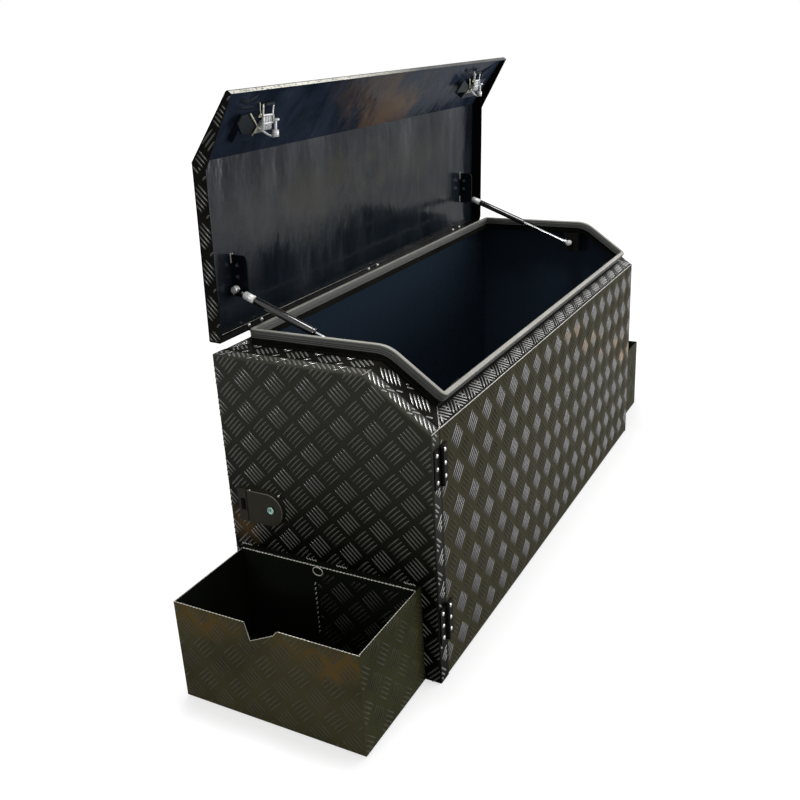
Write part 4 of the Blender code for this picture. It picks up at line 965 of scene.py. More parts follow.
class TOOLBOX_OT_seal(bpy.types.Operator):
    """Run the ribbed rubber seal around the rim"""

    bl_idname = "toolbox.seal"
    bl_label = "Rim seal"

    def execute(self, context):
        low = RIM_HEIGHT - 0.012
        cheek = np.array((0.0, 0.0, 0.0008, 0.0, 0.0, 0.0008, 0.0, 0.0, 0.0008, 0.0))
        rise = low + np.array((0.0, 0.0012, 0.0020, 0.0028, 0.0046, 0.0054, 0.0062, 0.0080, 0.0088, 0.0096))
        middle = -SHEET / 2
        half = 0.0043 + SHEET / 2
        outer = np.stack([middle + half - 0.0008 + cheek, rise], -1)
        angle = np.linspace(0, math.pi, 9)
        crown = np.stack([
            middle + half * np.cos(angle), RIM_HEIGHT + 0.0008 + 0.0046 * np.sin(angle)
        ], -1)
        inner = np.stack([middle - half + 0.0008 - cheek, rise], -1)[::-1]
        slot = np.array([
            (-SHEET - 0.0003, low), (-SHEET - 0.0003, RIM_HEIGHT + 0.0003),
            (0.0003, RIM_HEIGHT + 0.0003), (0.0003, low),
        ])
        section = np.concatenate([outer, crown, inner, slot])
        loops = np.stack([seal_path(side, level) for side, level in section])
        count = loops.shape[1]
        points, faces = facing_out(loops.reshape(-1, 3), ring_faces(len(section), count, closed=True))
        piece = make_piece("rim_seal_rubber", "box", "seal", "seal_rubber", (points, faces))
        band = np.arange(len(faces)) // count
        # The crown's bands take a painted highlight and the groove bands a painted shade.
        crown_highlight_faces = (band >= len(outer) + 2) & (band < len(outer) + len(crown) - 3)
        mirrored = len(section) - len(slot) - 2 - band
        groove_shade_faces = np.isin(band, SEAL_GROOVES) | np.isin(mirrored, SEAL_GROOVES)
        index = np.where(crown_highlight_faces, 1, np.where(groove_shade_faces, 2, 0))
        share_out(piece.data, index, finishes["crown"], finishes["groove"])
        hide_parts("rim_seal")
        return {"FINISHED"}


class TOOLBOX_OT_end_tread(bpy.types.Operator):
    """Raise the tread on the end door and on both trays"""

    bl_idname = "toolbox.end_tread"
    bl_label = "Door and tray tread"

    def execute(self, context):
        inset = context.scene.toolbox_tread.bar_height + TREAD_GAP
        outline = [(-HALF_WIDTH, 0), (HALF_WIDTH, 0), (HALF_WIDTH, FRONT_HEIGHT), (-FOLD_Y, BODY_HEIGHT),
                   (-HALF_WIDTH, BODY_HEIGHT)]
        door = panel(upright(-X, -DOOR_LOW.x), outline, DOOR_PITCH, DOOR_PHASE)
        make_piece("door_tread", "door", "door_tread", "tread_paint", door)
        low_x = DOOR_LOW.x + FOLD_RADIUS
        high_x = DOOR_HIGH.x
        flanges = [
            panel(BODY_SLOPE, rectangle(low_x, high_x, S_FRONT, 0), FLANGE_PITCH, (-0.6150, -0.0170)),
            panel(BODY_TOP, rectangle(low_x, high_x, 0, S_REAR), FLANGE_TOP_PITCH, (-0.6150, 0.0240)),
            panel(upright(-Y, HALF_WIDTH), rectangle(low_x, high_x, 0, FRONT_HEIGHT), PLAIN_PITCH,
                  (-0.5980, 0.0500), hinge_holes(-0.632, -0.598)),
            panel(upright(Y, HALF_WIDTH), rectangle(-high_x, -low_x, 0, BODY_HEIGHT), PLAIN_PITCH,
                  (0.6140, 0.0500)),
        ]
        # The door's flange bars take the lit copy of the tread, a painted highlight.
        make_piece("door_flange_tread", "door", "shoulder_tread", "tread_paint", *flanges)
        trays = (
            ("left_tray", LEFT_TRAY_LOW, LEFT_TRAY_HIGH, -1, "door"),
            ("right_tray", RIGHT_TRAY_LOW, RIGHT_TRAY_HIGH, 1, "box"),
        )
        for name, low, high, sign, body in trays:
            face, back = (low.x, high.x) if sign < 0 else (high.x, low.x)
            out = X * sign
            shell = sheet_copy(name + "_sheet", name, X * face, out, inset, finishes["tray"])
            # The tray's front and sides take painted brown reflection tones; the inside faces keep a plain
            # dark coat.
            centres, normals = face_places(shell.data)
            is_front = (normals[:, 0] * sign > 0.7) & (np.abs(centres[:, 0] - face) < 0.004)
            is_side = (np.abs(normals[:, 1]) > 0.7) & (np.abs(centres[:, 1]) > high.y - 0.001)
            index = np.where(is_front, 0, np.where(is_side, 1, 2))
            share_out(shell.data, index, finishes["tray_side"], finishes["tray_inside"])
            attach(shell, body)
            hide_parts(name)
            notch = [(y * sign, z) for y, z in NOTCH]
            front = panel(upright(out, face * sign - inset), rectangle(low.y, high.y, low.z, high.z),
                          TRAY_PITCH, TRAY_PHASE, [notch])
            make_piece(name + "_tread", body, "tray_tread", "tread_paint", front)
            sides = []
            for hand, level in ((-1, low.y), (1, high.y)):
                ends = sorted((-hand * low.x, -hand * high.x))
                sides.append(panel(upright(Y * hand, level * hand), rectangle(*ends, low.z, high.z),
                                   TRAY_PITCH, (-hand * (low.x + high.x) / 2, 0.120)))
            make_piece(name + "_side_tread", body, "tray_side_tread", "tread_paint", *sides)
            ends = sorted((sign * low.y * 0.96, sign * 0.018))
            inner = panel(upright(out, back * sign + WALL_STEP), rectangle(*ends, 0.012, 0.190),
                          TRAY_PITCH, TRAY_PHASE)
            make_piece(name + "_inner_tread", body, "inner_tread", "tread_paint", inner)
        return {"FINISHED"}


class TOOLBOX_OT_lid(bpy.types.Operator):
    """Give the lid its sheet with smooth inner faces and the tread on its outer faces"""

    bl_idname = "toolbox.lid"
    bl_label = "Lid sheet and tread"

    def execute(self, context):
        inset = context.scene.toolbox_tread.bar_height + TREAD_GAP
        outwards = swung(Z)
        top = hinged((0, 0, LID_TOP))
        shell = sheet_copy("lid_sheet", "lid_panel", top, outwards, inset, finishes["coat"])
        # The lid's inner faces take the painted reflection finishes: inside, slope and lip.
        ways = np.array([swung(-Z), swung(-OFF_SLOPE), swung(-UP_SLOPE)])
        facing = face_places(shell.data)[1] @ ways.T
        index = np.where(facing.max(1) > 0.98, facing.argmax(1) + 1, 0)
        share_out(shell.data, index, finishes["inside"], finishes["slope"], finishes["lip"])
        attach(shell, "lid")
        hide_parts("lid_panel")
        end = LID_HALF - EDGE_CLEAR
        crease = hinged((0, LID_CREASE_Y, LID_TOP))
        length = HALF_WIDTH - LID_CREASE_Y
        main = (crease - outwards * inset, X, swung(Y), outwards)
        sloped = (crease, X, swung(UP_SLOPE), swung(OFF_SLOPE))
        faces = (
            (main, rectangle(-end, end, EDGE_CLEAR, length - FOLD_RADIUS)),
            (sloped, rectangle(-end, end, -LID_SLOPED + FOLD_RADIUS, -EDGE_CLEAR)),
        )
        parts = [panel(place, outline, PLAIN_PITCH, PLAIN_PHASE) for place, outline in faces]
        low = LID_TOP - LID_END_FLANGE
        crease_low = (LID_CREASE_Y + LID_END_FLANGE * math.tan(SLOPE / 2), low)
        tip = (LID_CREASE_Y - LID_SLOPED * COS, LID_TOP - LID_SLOPED * SIN)
        tip_low = (tip[0] + LID_TIP_FLANGE * SIN, tip[1] - LID_TIP_FLANGE * COS)
        flat_strip = [(HALF_WIDTH, LID_TOP), (LID_CREASE_Y, LID_TOP), crease_low, (HALF_WIDTH - 0.012, low),
                      (HALF_WIDTH, LID_TOP - LID_REAR_FLANGE)]
        tip_strip = [(LID_CREASE_Y, LID_TOP), tip, tip_low, crease_low]
        for sign in (-1, 1):
            place = (hinged((sign * (LID_HALF - 0.0005), 0, 0)), swung(Y) * sign, swung(Z), X * sign)
            for strip in (flat_strip, tip_strip):
                outline = [(y * sign, z) for y, z in strip]
                parts.append(panel(place, outline, PLAIN_PITCH, (sign * 0.02, LID_TOP - 0.012)))
        make_piece("lid_tread", "lid", "tread", "tread_paint", *parts)
        return {"FINISHED"}


# Places on the lid's inner faces when it stands open.
LID_SLOPE = (
    hinged((0, LID_CREASE_Y, LID_TOP)) - swung(OFF_SLOPE) * SHEET, X, swung(-UP_SLOPE), swung(-OFF_SLOPE)
)
LID_MAIN = (hinged((0, 0, LID_TOP - SHEET)), X, swung(Y), swung(-Z))
# Painted brown reflections on the sloped inner face: place, reach and strength.
SLOPE_REFLECTIONS = [
    (LID_SLOPE[0] + x * X + up * LID_SLOPE[2], (wide, 0.06, 0.075), strength) for x, up, wide, strength in (
        (-0.070, 0.115, 0.16, 0.405), (0.020, 0.060, 0.14, 0.72), (0.080, 0.020, 0.13, 0.9),
    )
]


def on_place(place, across, up, off=0.0):
    """The point of a place (origin, across, up, outwards) at the given steps; the steps may be arrays."""
    origin, u_axis, v_axis, normal = place
    across, up, off = np.broadcast_arrays(np.asarray(across, float), up, off)
    return origin + across[..., None] * u_axis + up[..., None] * v_axis + off[..., None] * normal


class TOOLBOX_OT_fasteners(bpy.types.Operator):
    """Put the rivets on the door's hinges and the lid's hinges"""

    bl_idname = "toolbox.fasteners"
    bl_label = "Rivets"

    def execute(self, context):
        door = []
        body = []
        for height in DOOR_HINGE_HEIGHTS:
            for step in (-DOOR_RIVET_STEP, 0.0, DOOR_RIVET_STEP):
                for rivets, aside in ((door, -DOOR_RIVET_SIDE), (body, DOOR_RIVET_SIDE)):
                    place = (DOOR_HINGE_X + aside, -HALF_WIDTH - LEAF, height + step)
                    rivets.append(dome(place, -Y, RIVET_RADIUS, 0.0020))
        make_piece("door_hinge_rivets", "door", "zinc", "zinc_steel", *door)
        lid = []
        for middle in LID_HINGES_X:
            for x in (middle - LID_RIVET_SIDE, middle + LID_RIVET_SIDE):
                for y, way, height in ((HALF_WIDTH - SHEET, -Y, 0.0044), (HALF_WIDTH + LEAF, Y, 0.0016)):
                    lid.append(dome(hinged((x, y, LID_RIVET_HEIGHT)), swung(way), RIVET_RADIUS, height))
                body.append(dome((x, HALF_WIDTH + LEAF, BODY_RIVET_HEIGHT), Y, RIVET_RADIUS, 0.0016))
        make_piece("lid_hinge_rivets", "lid", "zinc", "zinc_steel", *lid)
        make_piece("body_rivets", "box", "zinc", "zinc_steel", *body)
        return {"FINISHED"}


# The strut brackets' welds, to either side of the middle.
BODY_BRACKET_X = 0.5447
LID_BRACKET_X = 0.512


class TOOLBOX_OT_welds(bpy.types.Operator):
    """Lay the weld beads and stitches on the tray, the door's and the body's corners and the brackets,
    coloured light to paint their highlights, and painted glint lines on the tray's edges
    """

    bl_idname = "toolbox.welds"
    bl_label = "Welds"

    def execute(self, context):
        self.weld_tray()
        # The corner welds are light beads whose colour paints their highlight.
        door = [
            weld(FRONT_CORNER + X * (DOOR_LOW.x + 0.002), FRONT_CORNER + X * DOOR_HIGH.x + Z * 0.0004, Z,
                 0.0016, 0.0010),
            weld(FOLD + X * (DOOR_LOW.x + FOLD_RADIUS * 0.4), FOLD + X * DOOR_HIGH.x, Y, 0.0016, 0.0008),
        ]
        make_piece("door_corner_welds", "door", "bead", "tread_paint", *door)
        body = []
        for sign in (-1, 1):
            outer = FRONT_CORNER + X * sign * (HALF_LENGTH - 0.001)
            inner = FRONT_CORNER + X * sign * (HALF_LENGTH - RIM_FROM_END + 0.001)
            body.append(weld(outer, inner + UP_SLOPE * (RIM_FROM_FRONT - 0.001), Y, 0.0015, 0.0010, 0.0030))
            x = sign * BODY_BRACKET_X
            body.append(weld((x, -0.087, 0.5745), (x, -0.045, 0.5745), Z, 0.0026, 0.0022))
        make_piece("body_corner_welds", "box", "bead", "tread_paint", *body)
        lid = []
        foot = LID_AXIS[1] - 0.071 - 0.002
        for sign in (-1, 1):
            for aside in (-0.0024, 0.0024):
                for stretch in ((0.0, 0.016), (0.062, 0.080)):
                    x = sign * LID_BRACKET_X + aside
                    ends = (on_place(LID_MAIN, x, foot - step, 0.0004) for step in stretch)
                    lid.append(weld(*ends, X, 0.0018, 0.0014))
        # Bright bracket weld beads: their colour paints the glints.
        make_piece("lid_bracket_welds", "lid", "glint", "tread_paint", *lid)
        return {"FINISHED"}

    def weld_tray(self):
        """The left tray's welds, coloured light to paint their glints: stitches, dashed seam, ring and the
        rope along the wall; and painted glint lines along the top edges and the notch.
        """
        low, high = LEFT_TRAY_LOW, LEFT_TRAY_HIGH
        top = high.z
        wall = high.x - 0.0180
        door_face = DOOR_LOW.x
        tray = []
        for middle in (0.187, 0.040, -0.025, -0.165):
            for y in (middle - 0.010, middle - 0.004, middle + 0.002, middle + 0.008):
                tray.append(weld((door_face - 0.0042, y - 0.003, top - 0.0002),
                                 (door_face - 0.0014, y + 0.003, top + 0.0006), X,
                                 0.0011, 0.0010, 0.0040, 0.6))
        for z in np.arange(0.166, 0.060, -0.0105):
            tray.append(weld((wall - 0.0030, 0.0215, z), (wall - 0.0030, 0.0235, z - 0.0052), Y,
                             0.0014, 0.0009))
        angle = np.linspace(0, 2 * math.pi, 25)[:-1]
        ring = np.stack([np.full(24, wall - 0.0036), 0.014 + 0.0105 * np.cos(angle),
                         top - 0.0080 + 0.0085 * np.sin(angle)], -1)
        tray.append(bar(ring, X, 0.0011, 0.0011, 6, closed=True))
        tray.append(weld((wall, 0.186, top), (wall, -0.184, top), X, 0.0017, 0.0013, 0.0072, 0.95))
        # Painted glint lines along the tray's top edges and the notch.
        edge = top + 0.0001
        for start, end in ((0.188, 0.0365), (-0.0325, -0.188)):
            tray.append(weld((low.x + 0.0020, start, edge), (low.x + 0.0020, end, edge), X,
                             0.0008, 0.0006, 0.0070, 0.8))
        for y in (low.y + 0.0012, high.y - 0.0012):
            tray.append(weld((low.x + 0.0030, y, edge), (door_face - 0.018, y, edge), Y,
                             0.0007, 0.0005, 0.0070, 0.8))
        for start, end in zip(NOTCH[:-1], NOTCH[1:]):
            ends = ((low.x + 0.0016, y, z - 0.0006) for y, z in (start, end))
            tray.append(weld(*ends, X, 0.0006, 0.0006, 0.0040))
        make_piece("tray_welds_and_edge_glints", "door", "glint", "tread_paint", *tray)


STRUT_ALONG = np.array((0, -0.93229571, -0.36169698))
UPPER_STUD = np.array((0, 0.2333213, 0.6717258))
LOWER_STUD = np.array((0, -0.066, 0.5556))
STRUT_X = 0.524

# Turned profiles as (distance along the axis, radius): from the stud outwards, then from it along the strut.
SOCKET = [(-0.0067, 0.0052), (-0.0060, 0.0067), (-0.0030, 0.0068), (-0.0026, 0.0060), (-0.0016, 0.0060),
          (-0.0012, 0.0068), (0.0060, 0.0067), (0.0067, 0.0052)]
THROAT = [(0.0062, 0.0030), (0.0064, 0.0042), (0.0216, 0.0042), (0.0222, 0.0030)]
COLLAR = [(0.0216, 0.0050), (0.0222, 0.0066), (0.0232, 0.0075), (0.0434, 0.0075), (0.0444, 0.0064),
          (0.0452, 0.0064), (0.0458, 0.0070), (0.0466, 0.0070), (0.0470, 0.0060)]
TUBE_SKIN = [(0.0467, 0.0060), (0.0469, 0.0072), (0.0476, 0.00765), (0.0484, 0.00765), (0.1768, 0.00765),
             (0.1776, 0.00765), (0.1782, 0.0079), (0.1788, 0.0080), (0.1828, 0.0080), (0.1834, 0.0078),
             (0.1843, 0.0062), (0.1845, 0.0034)]
NECK = [(-0.0150, 0.0032), (-0.0145, 0.0044), (-0.0110, 0.0046), (-0.0062, 0.0044), (-0.0055, 0.0030)]


class TOOLBOX_OT_struts(bpy.types.Operator):
    """Dress the gas struts: sockets with their clips, crimped collars, the tube's skin and the rod's neck"""

    bl_idname = "toolbox.struts"
    bl_label = "Strut fittings"

    def execute(self, context):
        angle = np.linspace(0.6, 5.7, 16)[:, None]
        clip = (Y * np.cos(angle) + Z * np.sin(angle)) * 0.0070
        for sign, label in ((-1, "left"), (1, "right")):
            outwards = X * sign
            upper = UPPER_STUD + outwards * STRUT_X
            lower = LOWER_STUD + outwards * STRUT_X
            tube = f"tube_{label}"
            make_piece(f"strut_{label}_collar", tube, "silver", "zinc_steel",
                       turned(SOCKET, upper, outwards, 20), turned(COLLAR, upper, STRUT_ALONG, 20),
                       bar(upper + clip - outwards * 0.0021, X, 0.0006, 0.0006, 6))
            make_piece(f"strut_{label}_skin", tube, "tube", "strut_tube_paint",
                       turned(TUBE_SKIN, upper, STRUT_ALONG, 32), turned(THROAT, upper, STRUT_ALONG, 16))
            make_piece(f"strut_{label}_foot", f"rod_{label}", "plated", "zinc_steel",
                       turned(SOCKET, lower, outwards, 20), turned(NECK, lower, STRUT_ALONG, 16))
        return {"FINISHED"}


# The door lock's own place: out from the middle of its face, with the key barrel beside it.
LOCK_FACE = DOOR_LOW.x - 0.0084
LOCK_PLACE = (np.array((LOCK_FACE, 0.0876, 0.2891)), Y, Z, -X)
KEY_PLACE = (np.array((LOCK_FACE - 0.0010, 0.1163, 0.2891)), Y, Z, -X)
PADDLE_RADIUS = 0.0337 - 0.0016
KEY_RING = [(0.0, 0.0072), (0.0004, 0.0074), (0.0010, 0.0070), (0.0011, 0.0052), (0.0007, 0.0048),
            (0.0007, 0.0012)]


class TOOLBOX_OT_locks(bpy.types.Operator):
    """Detail the door's lock: the paddle's rim as a painted highlight, the pull slot and keyway as dark slabs
    of painted shade, the pull slot's rim, two painted glints and the key ring
    """

    bl_idname = "toolbox.locks"
    bl_label = "Lock details"

    def execute(self, context):
        angle = np.linspace(math.pi / 2, 3 * math.pi / 2, 17)[:12]
        across = np.append(0.0800, 0.0357 + PADDLE_RADIUS * np.cos(angle))
        up = np.append(PADDLE_RADIUS, PADDLE_RADIUS * np.sin(angle))
        # A light bar round the paddle's edge: a painted highlight.
        rim = bar(on_place(LOCK_PLACE, across, up, 0.0001), X, 0.0010, 0.0009, 6)
        make_piece("door_latch_paddle_rim_highlight", "door_paddle", "gloss", "lock_black", rim)
        # A dark slab on the face stands for the pull slot's depth: painted shade.
        slot = slab(round_box(0.0865, 0.0960, -0.0095, 0.0135, 0.0022), LOCK_PLACE, 0.0, 0.0006)
        make_piece("door_latch_pull_slot_shade", "door", "recess_shade", "lock_black", slot)
        edge = on_place(LOCK_PLACE, [0.0970, 0.0970, 0.0850], [0.0140, -0.0105, -0.0105], 0.0004)
        rims = [
            bar(edge, X, 0.0005, 0.0005, 6),
            slab(round_box(0.0835, 0.0850, -0.0330, 0.0335, 0.0006), LOCK_PLACE, 0.0, 0.0007),
        ]
        make_piece("door_latch_pull_rim", "door", "lock", "lock_black", *rims)
        # Two small light domes on the top edge: painted glints.
        heads = on_place(LOCK_PLACE, [0.0734, 0.0084], 0.0335, -0.0004)
        glints = [dome(head, -X, 0.0020, 0.0012) for head in heads]
        make_piece("door_latch_glints", "door", "glint", "lock_black", *glints)
        ring = turned(KEY_RING, KEY_PLACE[0], -X, 24)
        make_piece("door_key_ring", "door_key", "barrel", "key_barrel_metal", ring)
        # A dark slab for the keyway: painted shade.
        way = slab(round_box(-0.0008, 0.0008, -0.0030, 0.0030, 0.0005), KEY_PLACE, 0.0006, 0.0009, 0.0001)
        make_piece("door_key_way_shade", "door_key", "recess_shade", "lock_black", way)
        return {"FINISHED"}


# Catches: their step to either side, the height of their seat and the outlines of their covers and parts.
CATCH_SHIFT = 0.461
CATCH_SEAT = 0.0124
HEXAGON = [(-0.0830, 0.0900), (-0.0810, 0.1040), (-0.0640, 0.1050), (-0.0240, 0.0795), (-0.0270, 0.0590),
           (-0.0540, 0.0638)]
TRIANGLE = [(-0.0850, 0.0690), (-0.0890, 0.1040), (-0.0820, 0.1050), (-0.0360, 0.0860), (0.0090, 0.0665),
            (-0.0200, 0.0650)]
CHEEK = [(0.0640, 0.0150), (0.0865, 0.0150), (0.0950, 0.0155), (0.0790, 0.0262)]
CATCH_PIN = [(-0.0185, 0.0016), (-0.0180, 0.0021), (0.0145, 0.0021), (0.0150, 0.0016)]
BOLT_HEAD = [(-0.0042, 0.0058), (-0.0036, 0.0070), (-0.0006, 0.0072), (0.0, 0.0066), (0.0006, 0.0027)]
ROLLER_RIB = [(0.0, 0.0034), (0.0013, 0.0034), (0.0016, 0.0029)]
THREAD = [(0.0, 0.0029), (0.0006, 0.0025)]

# Paths at a catch: across, up and off the lid's slope, then the radius where it is a wire.
SPRING = ((-0.0230, -0.0140, -0.0025, 0.0100, 0.0200), (0.0790, 0.0740, 0.0690, 0.0640, 0.0640),
          (0.0215, 0.0220, 0.0240, 0.0290, 0.0350))
FORK = ((-0.0172, -0.0162, -0.0158, -0.0140, 0.0125, 0.0142, 0.0146, 0.0152),
        (0.1172, 0.1120, 0.1010, 0.0992, 0.0985, 0.1000, 0.1100, 0.1158),
        (0.0058, 0.0084, 0.0142, 0.0153, 0.0153, 0.0142, 0.0088, 0.0062))
WIRES = (
    ((-0.0610, -0.0400, -0.0180), (0.1094, 0.0935, 0.0762), (0.0160, 0.0162, 0.0164), 0.0013),
    ((-0.0184, -0.0178, -0.0174), (0.0770, 0.0660, 0.0557), (0.0164, 0.0156, 0.0140), 0.0013),
    ((-0.0200, -0.0100, -0.0013), (0.0772, 0.0762, 0.0754), (0.0158, 0.0160, 0.0170), 0.0010),
    ((-0.0300, -0.0280, -0.0262), (0.1215, 0.1110, 0.1035), (0.0060, 0.0110, 0.0150), 0.0007),
)
# Painted reflections of the catch levers on the lid's slope: a path across, a path up and a width for each.
LEVER_REFLECTIONS = (((0.083, 0.058, 0.036), (0.127, 0.120, 0.130), 0.0042),
        ((0.083, 0.060, 0.036), (0.112, 0.108, 0.109), 0.0030))


def ridged(steps, *rings):
    """A turned profile that repeats (shift, radius) rings at each step, as on a thread or a ribbed roller."""
    points = [np.stack([steps + shift, np.full(len(steps), radius)], -1) for shift, radius in rings]
    return np.stack(points, 1).reshape(-1, 2)


class TOOLBOX_OT_catches(bpy.types.Operator):
    """Build the roller catches: foot, ribbed body, adjusting bolt, fork with its roller, wires and cover"""

    bl_idname = "toolbox.catches"
    bl_label = "Catches"

    def execute(self, context):
        up, out = LID_SLOPE[2:]
        for sign, label, plate in ((-1, "left", HEXAGON), (1, "right", TRIANGLE)):
            middle = LID_SLOPE[0] + X * sign * CATCH_SHIFT
            place = (middle, X, up, out)
            seated = (middle + out * CATCH_SEAT, X, up, out)
            case = sheet_copy(f"lid_lock_{label}_case", f"lid_latch_{label}_case", LID_SLOPE[0], out, 0.0,
                              finishes["lock"])
            # Faces that look off the slope take the painted bluish reflection.
            share_out(case.data, (face_places(case.data)[0] - LID_SLOPE[0]) @ out > 0.0, finishes["case"])
            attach(case, "lid")
            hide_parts(f"lid_latch_{label}_case")
            parts = self.body(place, seated)
            piece = make_piece(f"catch_{label}_body", "lid", "plated", "zinc_steel", *parts)
            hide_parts(f"lid_latch_{label}_catch")
            fork = f"lid_fork_{label}"
            piece = make_piece(f"catch_{label}_fork", fork, "plated", "zinc_steel", *self.fork(place))
            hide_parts(f"lid_latch_{label}_fork")
            ribs = ridged(np.arange(-0.0130, 0.0115, 0.0022), *ROLLER_RIB)
            roller = turned(ribs, on_place(place, 0.0, 0.1168, 0.0072), X, 14)
            make_piece(f"catch_{label}_roller", fork, "cover", "zinc_steel", roller)
            wires = [bar(on_place(place, *path), out, radius, radius, 6) for *path, radius in WIRES]
            angle = np.linspace(0, 2 * math.pi, 19)[:-1]
            loop = on_place(place, -0.0250 + 0.0034 * np.cos(angle), 0.1000 + 0.0034 * np.sin(angle), 0.0150)
            wires.append(bar(loop, out, 0.0008, 0.0008, 6, closed=True))
            make_piece(f"catch_{label}_wires", "lid", "wire", "zinc_steel", *wires)
            cover = slab(plate, seated, 0.0, 0.0026, 0.0008)
            make_piece(f"catch_{label}_cover", "lid", "cover", "lock_black", cover, smooth=False)
            # Painted reflections of the catch levers, as thin bluish bars on the slope.
            lever_reflection = [
                bar(on_place(place, -np.array(across), rise, 0.0002), out, 0.0005, width, 6)
                for across, rise, width in LEVER_REFLECTIONS
            ]
            make_piece(f"catch_{label}_trim", "lid", "lever_reflection", "lock_black", *lever_reflection)
        return {"FINISHED"}

    def body(self, place, seated):
        """A catch's fixed parts: ribbed block, foot, cheeks, pin, flat spring and adjusting bolt."""
        up, out = place[2:]
        hang = (out * 0.0130 - up * 0.0205) / math.hypot(0.0130, 0.0205)
        face = np.cross(X, hang)
        face *= math.copysign(1, face @ out)
        block = (on_place(place, -0.0035, 0.0980, 0.0150), X, hang, face)
        parts = [slab(round_box(-0.0122, 0.0122, 0.0, 0.0250, 0.0020), block, -0.0024, 0.0, 0.0004)]
        for across in (-0.0098, -0.0049, 0.0, 0.0049, 0.0098):
            rib = on_place(block, across, [0.0010, 0.0030, 0.0220, 0.0240], [0.0002, 0.0010, 0.0010, 0.0002])
            parts.append(bar(rib, X, 0.0013, 0.0009, 6))
        parts.append(slab(round_box(-0.0145, 0.0145, 0.0600, 0.0865, 0.0025), seated, 0.0, 0.0030, 0.0005))
        for across in (-0.0145, 0.0075):
            parts.append(slab(CHEEK, (on_place(place, across, 0.0), up, out, X), -0.0008, 0.0008))
        parts.append(turned(CATCH_PIN, on_place(place, 0.0, 0.0870, 0.0220), X, 12))
        parts.append(bar(eased(on_place(place, *SPRING)), out, 0.0011, 0.0022, 8))
        top, end = on_place(place, 0.0200, (0.0900, 0.0655), (0.0220, 0.0370))
        length = np.linalg.norm(end - top)
        thread = ridged(np.arange(0.0010, length - 0.0132, 0.0012), *THREAD)
        knob = [(length - 0.0130, 0.0040), (length - 0.0124, 0.0060), (length - 0.0008, 0.0064),
                (length, 0.0054)]
        parts.append(turned(np.concatenate([BOLT_HEAD, thread, knob]), top, end - top, 18))
        return parts

    def fork(self, place):
        """A catch's fork: the bent bow that carries the roller, and its two legs."""
        up, out = place[2:]
        parts = [bar(on_place(place, *FORK), out * 0.85 + up * 0.52, 0.0014, 0.0021, 8)]
        for across in (-0.0166, 0.0136):
            leg = on_place(place, across, [0.0995, 0.0930, 0.0862], [0.0150, 0.0186, 0.0224])
            parts.append(bar(leg, X, 0.0010, 0.0030, 8))
        return parts


CAMERA_PLACE = (-1.86337, -0.84998, 1.10282)
CAMERA_TURN = (69.260, 2.834, -62.073)
CAMERA_LENS = 41.953
CAMERA_SHIFT = (-0.0006, -0.0167)
FLOOR_REACH = 14.0


def softbox(name, place, target, size, power):
    """A rectangular softbox that faces a target."""
    lamp = bpy.data.lights.new(name, "AREA")
    lamp.shape = "RECTANGLE"
    lamp.size, lamp.size_y = size
    lamp.energy = power
    made = bpy.data.objects.new(name, lamp)
    bpy.context.scene.collection.objects.link(made)
    made.location = place
    made.rotation_euler = (Vector(target) - Vector(place)).to_track_quat("-Z", "Y").to_euler()
    return made


def seen_rays(tree, mirrored):
    """One for camera rays, and a share for the glossy and transmission rays that mirror the background."""
    rays = tree.nodes.new("ShaderNodeLightPath").outputs
    bent = math_node(tree, "MAXIMUM", rays["Is Glossy Ray"], rays["Is Transmission Ray"])
    return math_node(tree, "MAXIMUM", rays["Is Camera Ray"], math_node(tree, "MULTIPLY", bent, mirrored))


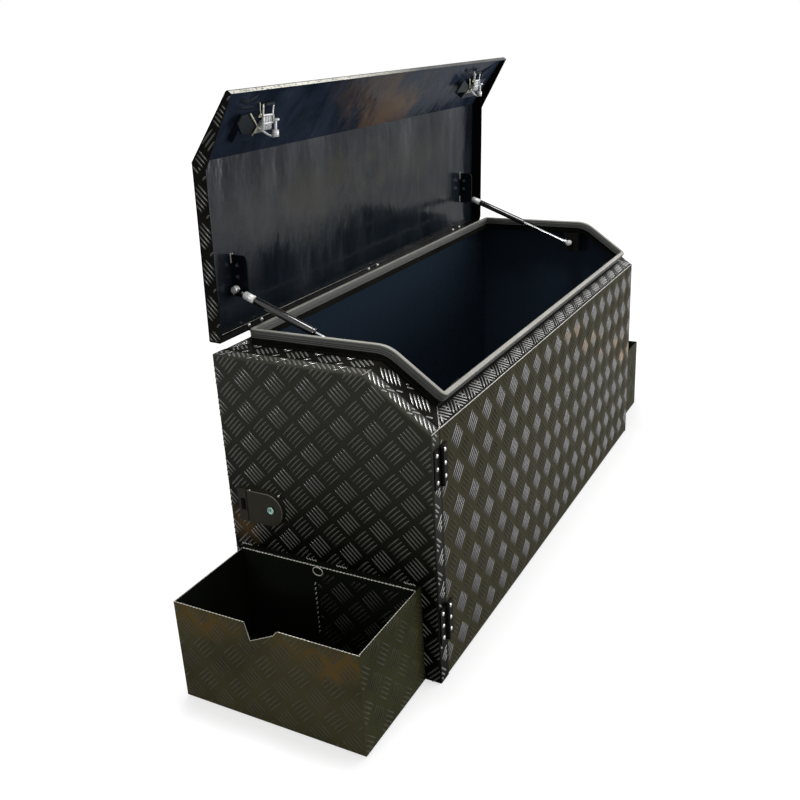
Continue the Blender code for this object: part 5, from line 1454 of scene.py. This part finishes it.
class TOOLBOX_OT_studio(bpy.types.Operator):
    """Set the camera, the floor, the softboxes and the white surroundings"""

    bl_idname = "toolbox.studio"
    bl_label = "Studio"

    def execute(self, context):
        scene = context.scene
        light = scene.toolbox_studio
        lens = bpy.data.cameras.new("photo_camera")
        lens.sensor_width = 36.0
        lens.lens = CAMERA_LENS
        lens.shift_x, lens.shift_y = CAMERA_SHIFT
        camera = bpy.data.objects.new("photo_camera", lens)
        scene.collection.objects.link(camera)
        camera.location = CAMERA_PLACE
        camera.rotation_euler = Euler([math.radians(angle) for angle in CAMERA_TURN], "XYZ")
        scene.camera = camera
        softbox("front_softbox", (1.3, -3.2, 1.0), (0.0, 0.0, 0.3), (3.2, 1.9), light.key)
        softbox("top_softbox", (-0.2, 0.1, 3.0), (0.0, 0.0, 0.3), (1.3, 0.7), light.top)
        softbox("left_softbox", (-3.6, 0.6, 1.3), (0.0, 0.0, 0.3), (0.8, 0.4), light.side)
        softbox("right_softbox", (3.2, -1.8, 1.2), (0.0, 0.0, 0.3), (1.2, 0.8), light.side)
        scene.world = bpy.data.worlds.new("white_surroundings")
        scene.world.use_nodes = True
        tree = scene.world.node_tree
        background = tree.nodes["Background"]
        background.inputs["Color"].default_value = (1, 1, 1, 1)
        tree.links.new(spread(tree, seen_rays(tree, 1.0), 0.45, 1.0, 0.0, 1.0), background.inputs["Strength"])
        scene.view_settings.view_transform = "Standard"
        self.lay_floor(scene)
        return {"FINISHED"}

    def lay_floor(self, scene):
        """Lay a dull pale floor that glows more the farther it is from the box, so that it fades to white."""
        grid = np.linspace(-FLOOR_REACH, FLOOR_REACH, 9)
        across, along = np.meshgrid(grid, grid, indexing="ij")
        level = np.full_like(across, -0.0003)
        points = np.stack([across, along, level], -1).reshape(-1, 3)
        row, column = np.meshgrid(np.arange(8), np.arange(8), indexing="ij")
        corner = row * 9 + column
        faces = np.stack([corner, corner + 9, corner + 10, corner + 1], -1).reshape(-1, 4)
        mesh = bpy.data.meshes.new("floor")
        mesh.from_pydata(points.tolist(), [], faces.tolist())
        floor = bpy.data.objects.new("floor", mesh)
        scene.collection.objects.link(floor)
        finish = bpy.data.materials.new("pale_floor")
        finish.use_nodes = True
        tree = finish.node_tree
        shader = tree.nodes["Principled BSDF"]
        shader.inputs["Base Color"].default_value = (0.42, 0.42, 0.42, 1)
        shader.inputs["Roughness"].default_value = 1.0
        shader.inputs["Specular IOR Level"].default_value = 0.0
        shader.inputs["Emission Color"].default_value = (1, 1, 1, 1)
        place = tree.nodes.new("ShaderNodeTexCoord").outputs["Object"]
        reach = tree.nodes.new("ShaderNodeVectorMath")
        reach.operation = "LENGTH"
        tree.links.new(place, reach.inputs[0])
        glow = spread(tree, reach.outputs["Value"], 0.66, 1.0, 1.5, 5.0)
        seen = math_node(tree, "MULTIPLY", glow, seen_rays(tree, 0.2))
        tree.links.new(seen, shader.inputs["Emission Strength"])
        mesh.materials.append(finish)


class TOOLBOX_PT_sidebar(bpy.types.Panel):
    """Lists the settings and the steps"""

    bl_idname = "TOOLBOX_PT_sidebar"
    bl_label = "Checker Plate Toolbox"
    bl_space_type = "VIEW_3D"
    bl_region_type = "UI"
    bl_category = "Toolbox"

    def draw(self, context):
        for settings in ("toolbox_tread", "toolbox_finish", "toolbox_studio"):
            group = getattr(context.scene, settings)
            for name in group.bl_rna.properties.keys():
                if name not in ("name", "rna_type"):
                    self.layout.prop(group, name)
        for step in STEPS:
            self.layout.operator(step.bl_idname)


GROUPS = {
    "toolbox_tread": TreadSettings,
    "toolbox_finish": FinishSettings,
    "toolbox_studio": StudioSettings,
}
STEPS = (
    TOOLBOX_OT_finishes,
    TOOLBOX_OT_body_tread,
    TOOLBOX_OT_end_tread,
    TOOLBOX_OT_lid,
    TOOLBOX_OT_seal,
    TOOLBOX_OT_fasteners,
    TOOLBOX_OT_welds,
    TOOLBOX_OT_struts,
    TOOLBOX_OT_locks,
    TOOLBOX_OT_catches,
    TOOLBOX_OT_studio,
)


def register():
    """Register the classes and hang the settings on the scene."""
    for made in (*GROUPS.values(), *STEPS, TOOLBOX_PT_sidebar):
        bpy.utils.register_class(made)
    for name, group in GROUPS.items():
        setattr(bpy.types.Scene, name, bpy.props.PointerProperty(type=group))


def unregister():
    """Take the settings and the classes away again."""
    for name in GROUPS:
        delattr(bpy.types.Scene, name)
    for made in (TOOLBOX_PT_sidebar, *reversed(STEPS), *reversed(tuple(GROUPS.values()))):
        bpy.utils.unregister_class(made)


def main():
    """Run every step in order."""
    register()
    bpy.ops.toolbox.finishes()
    bpy.ops.toolbox.body_tread()
    bpy.ops.toolbox.end_tread()
    bpy.ops.toolbox.lid()
    bpy.ops.toolbox.seal()
    bpy.ops.toolbox.fasteners()
    bpy.ops.toolbox.welds()
    bpy.ops.toolbox.struts()
    bpy.ops.toolbox.locks()
    bpy.ops.toolbox.catches()
    bpy.ops.toolbox.studio()
    bpy.context.view_layer.update()


if __name__ == "__main__":
    main()
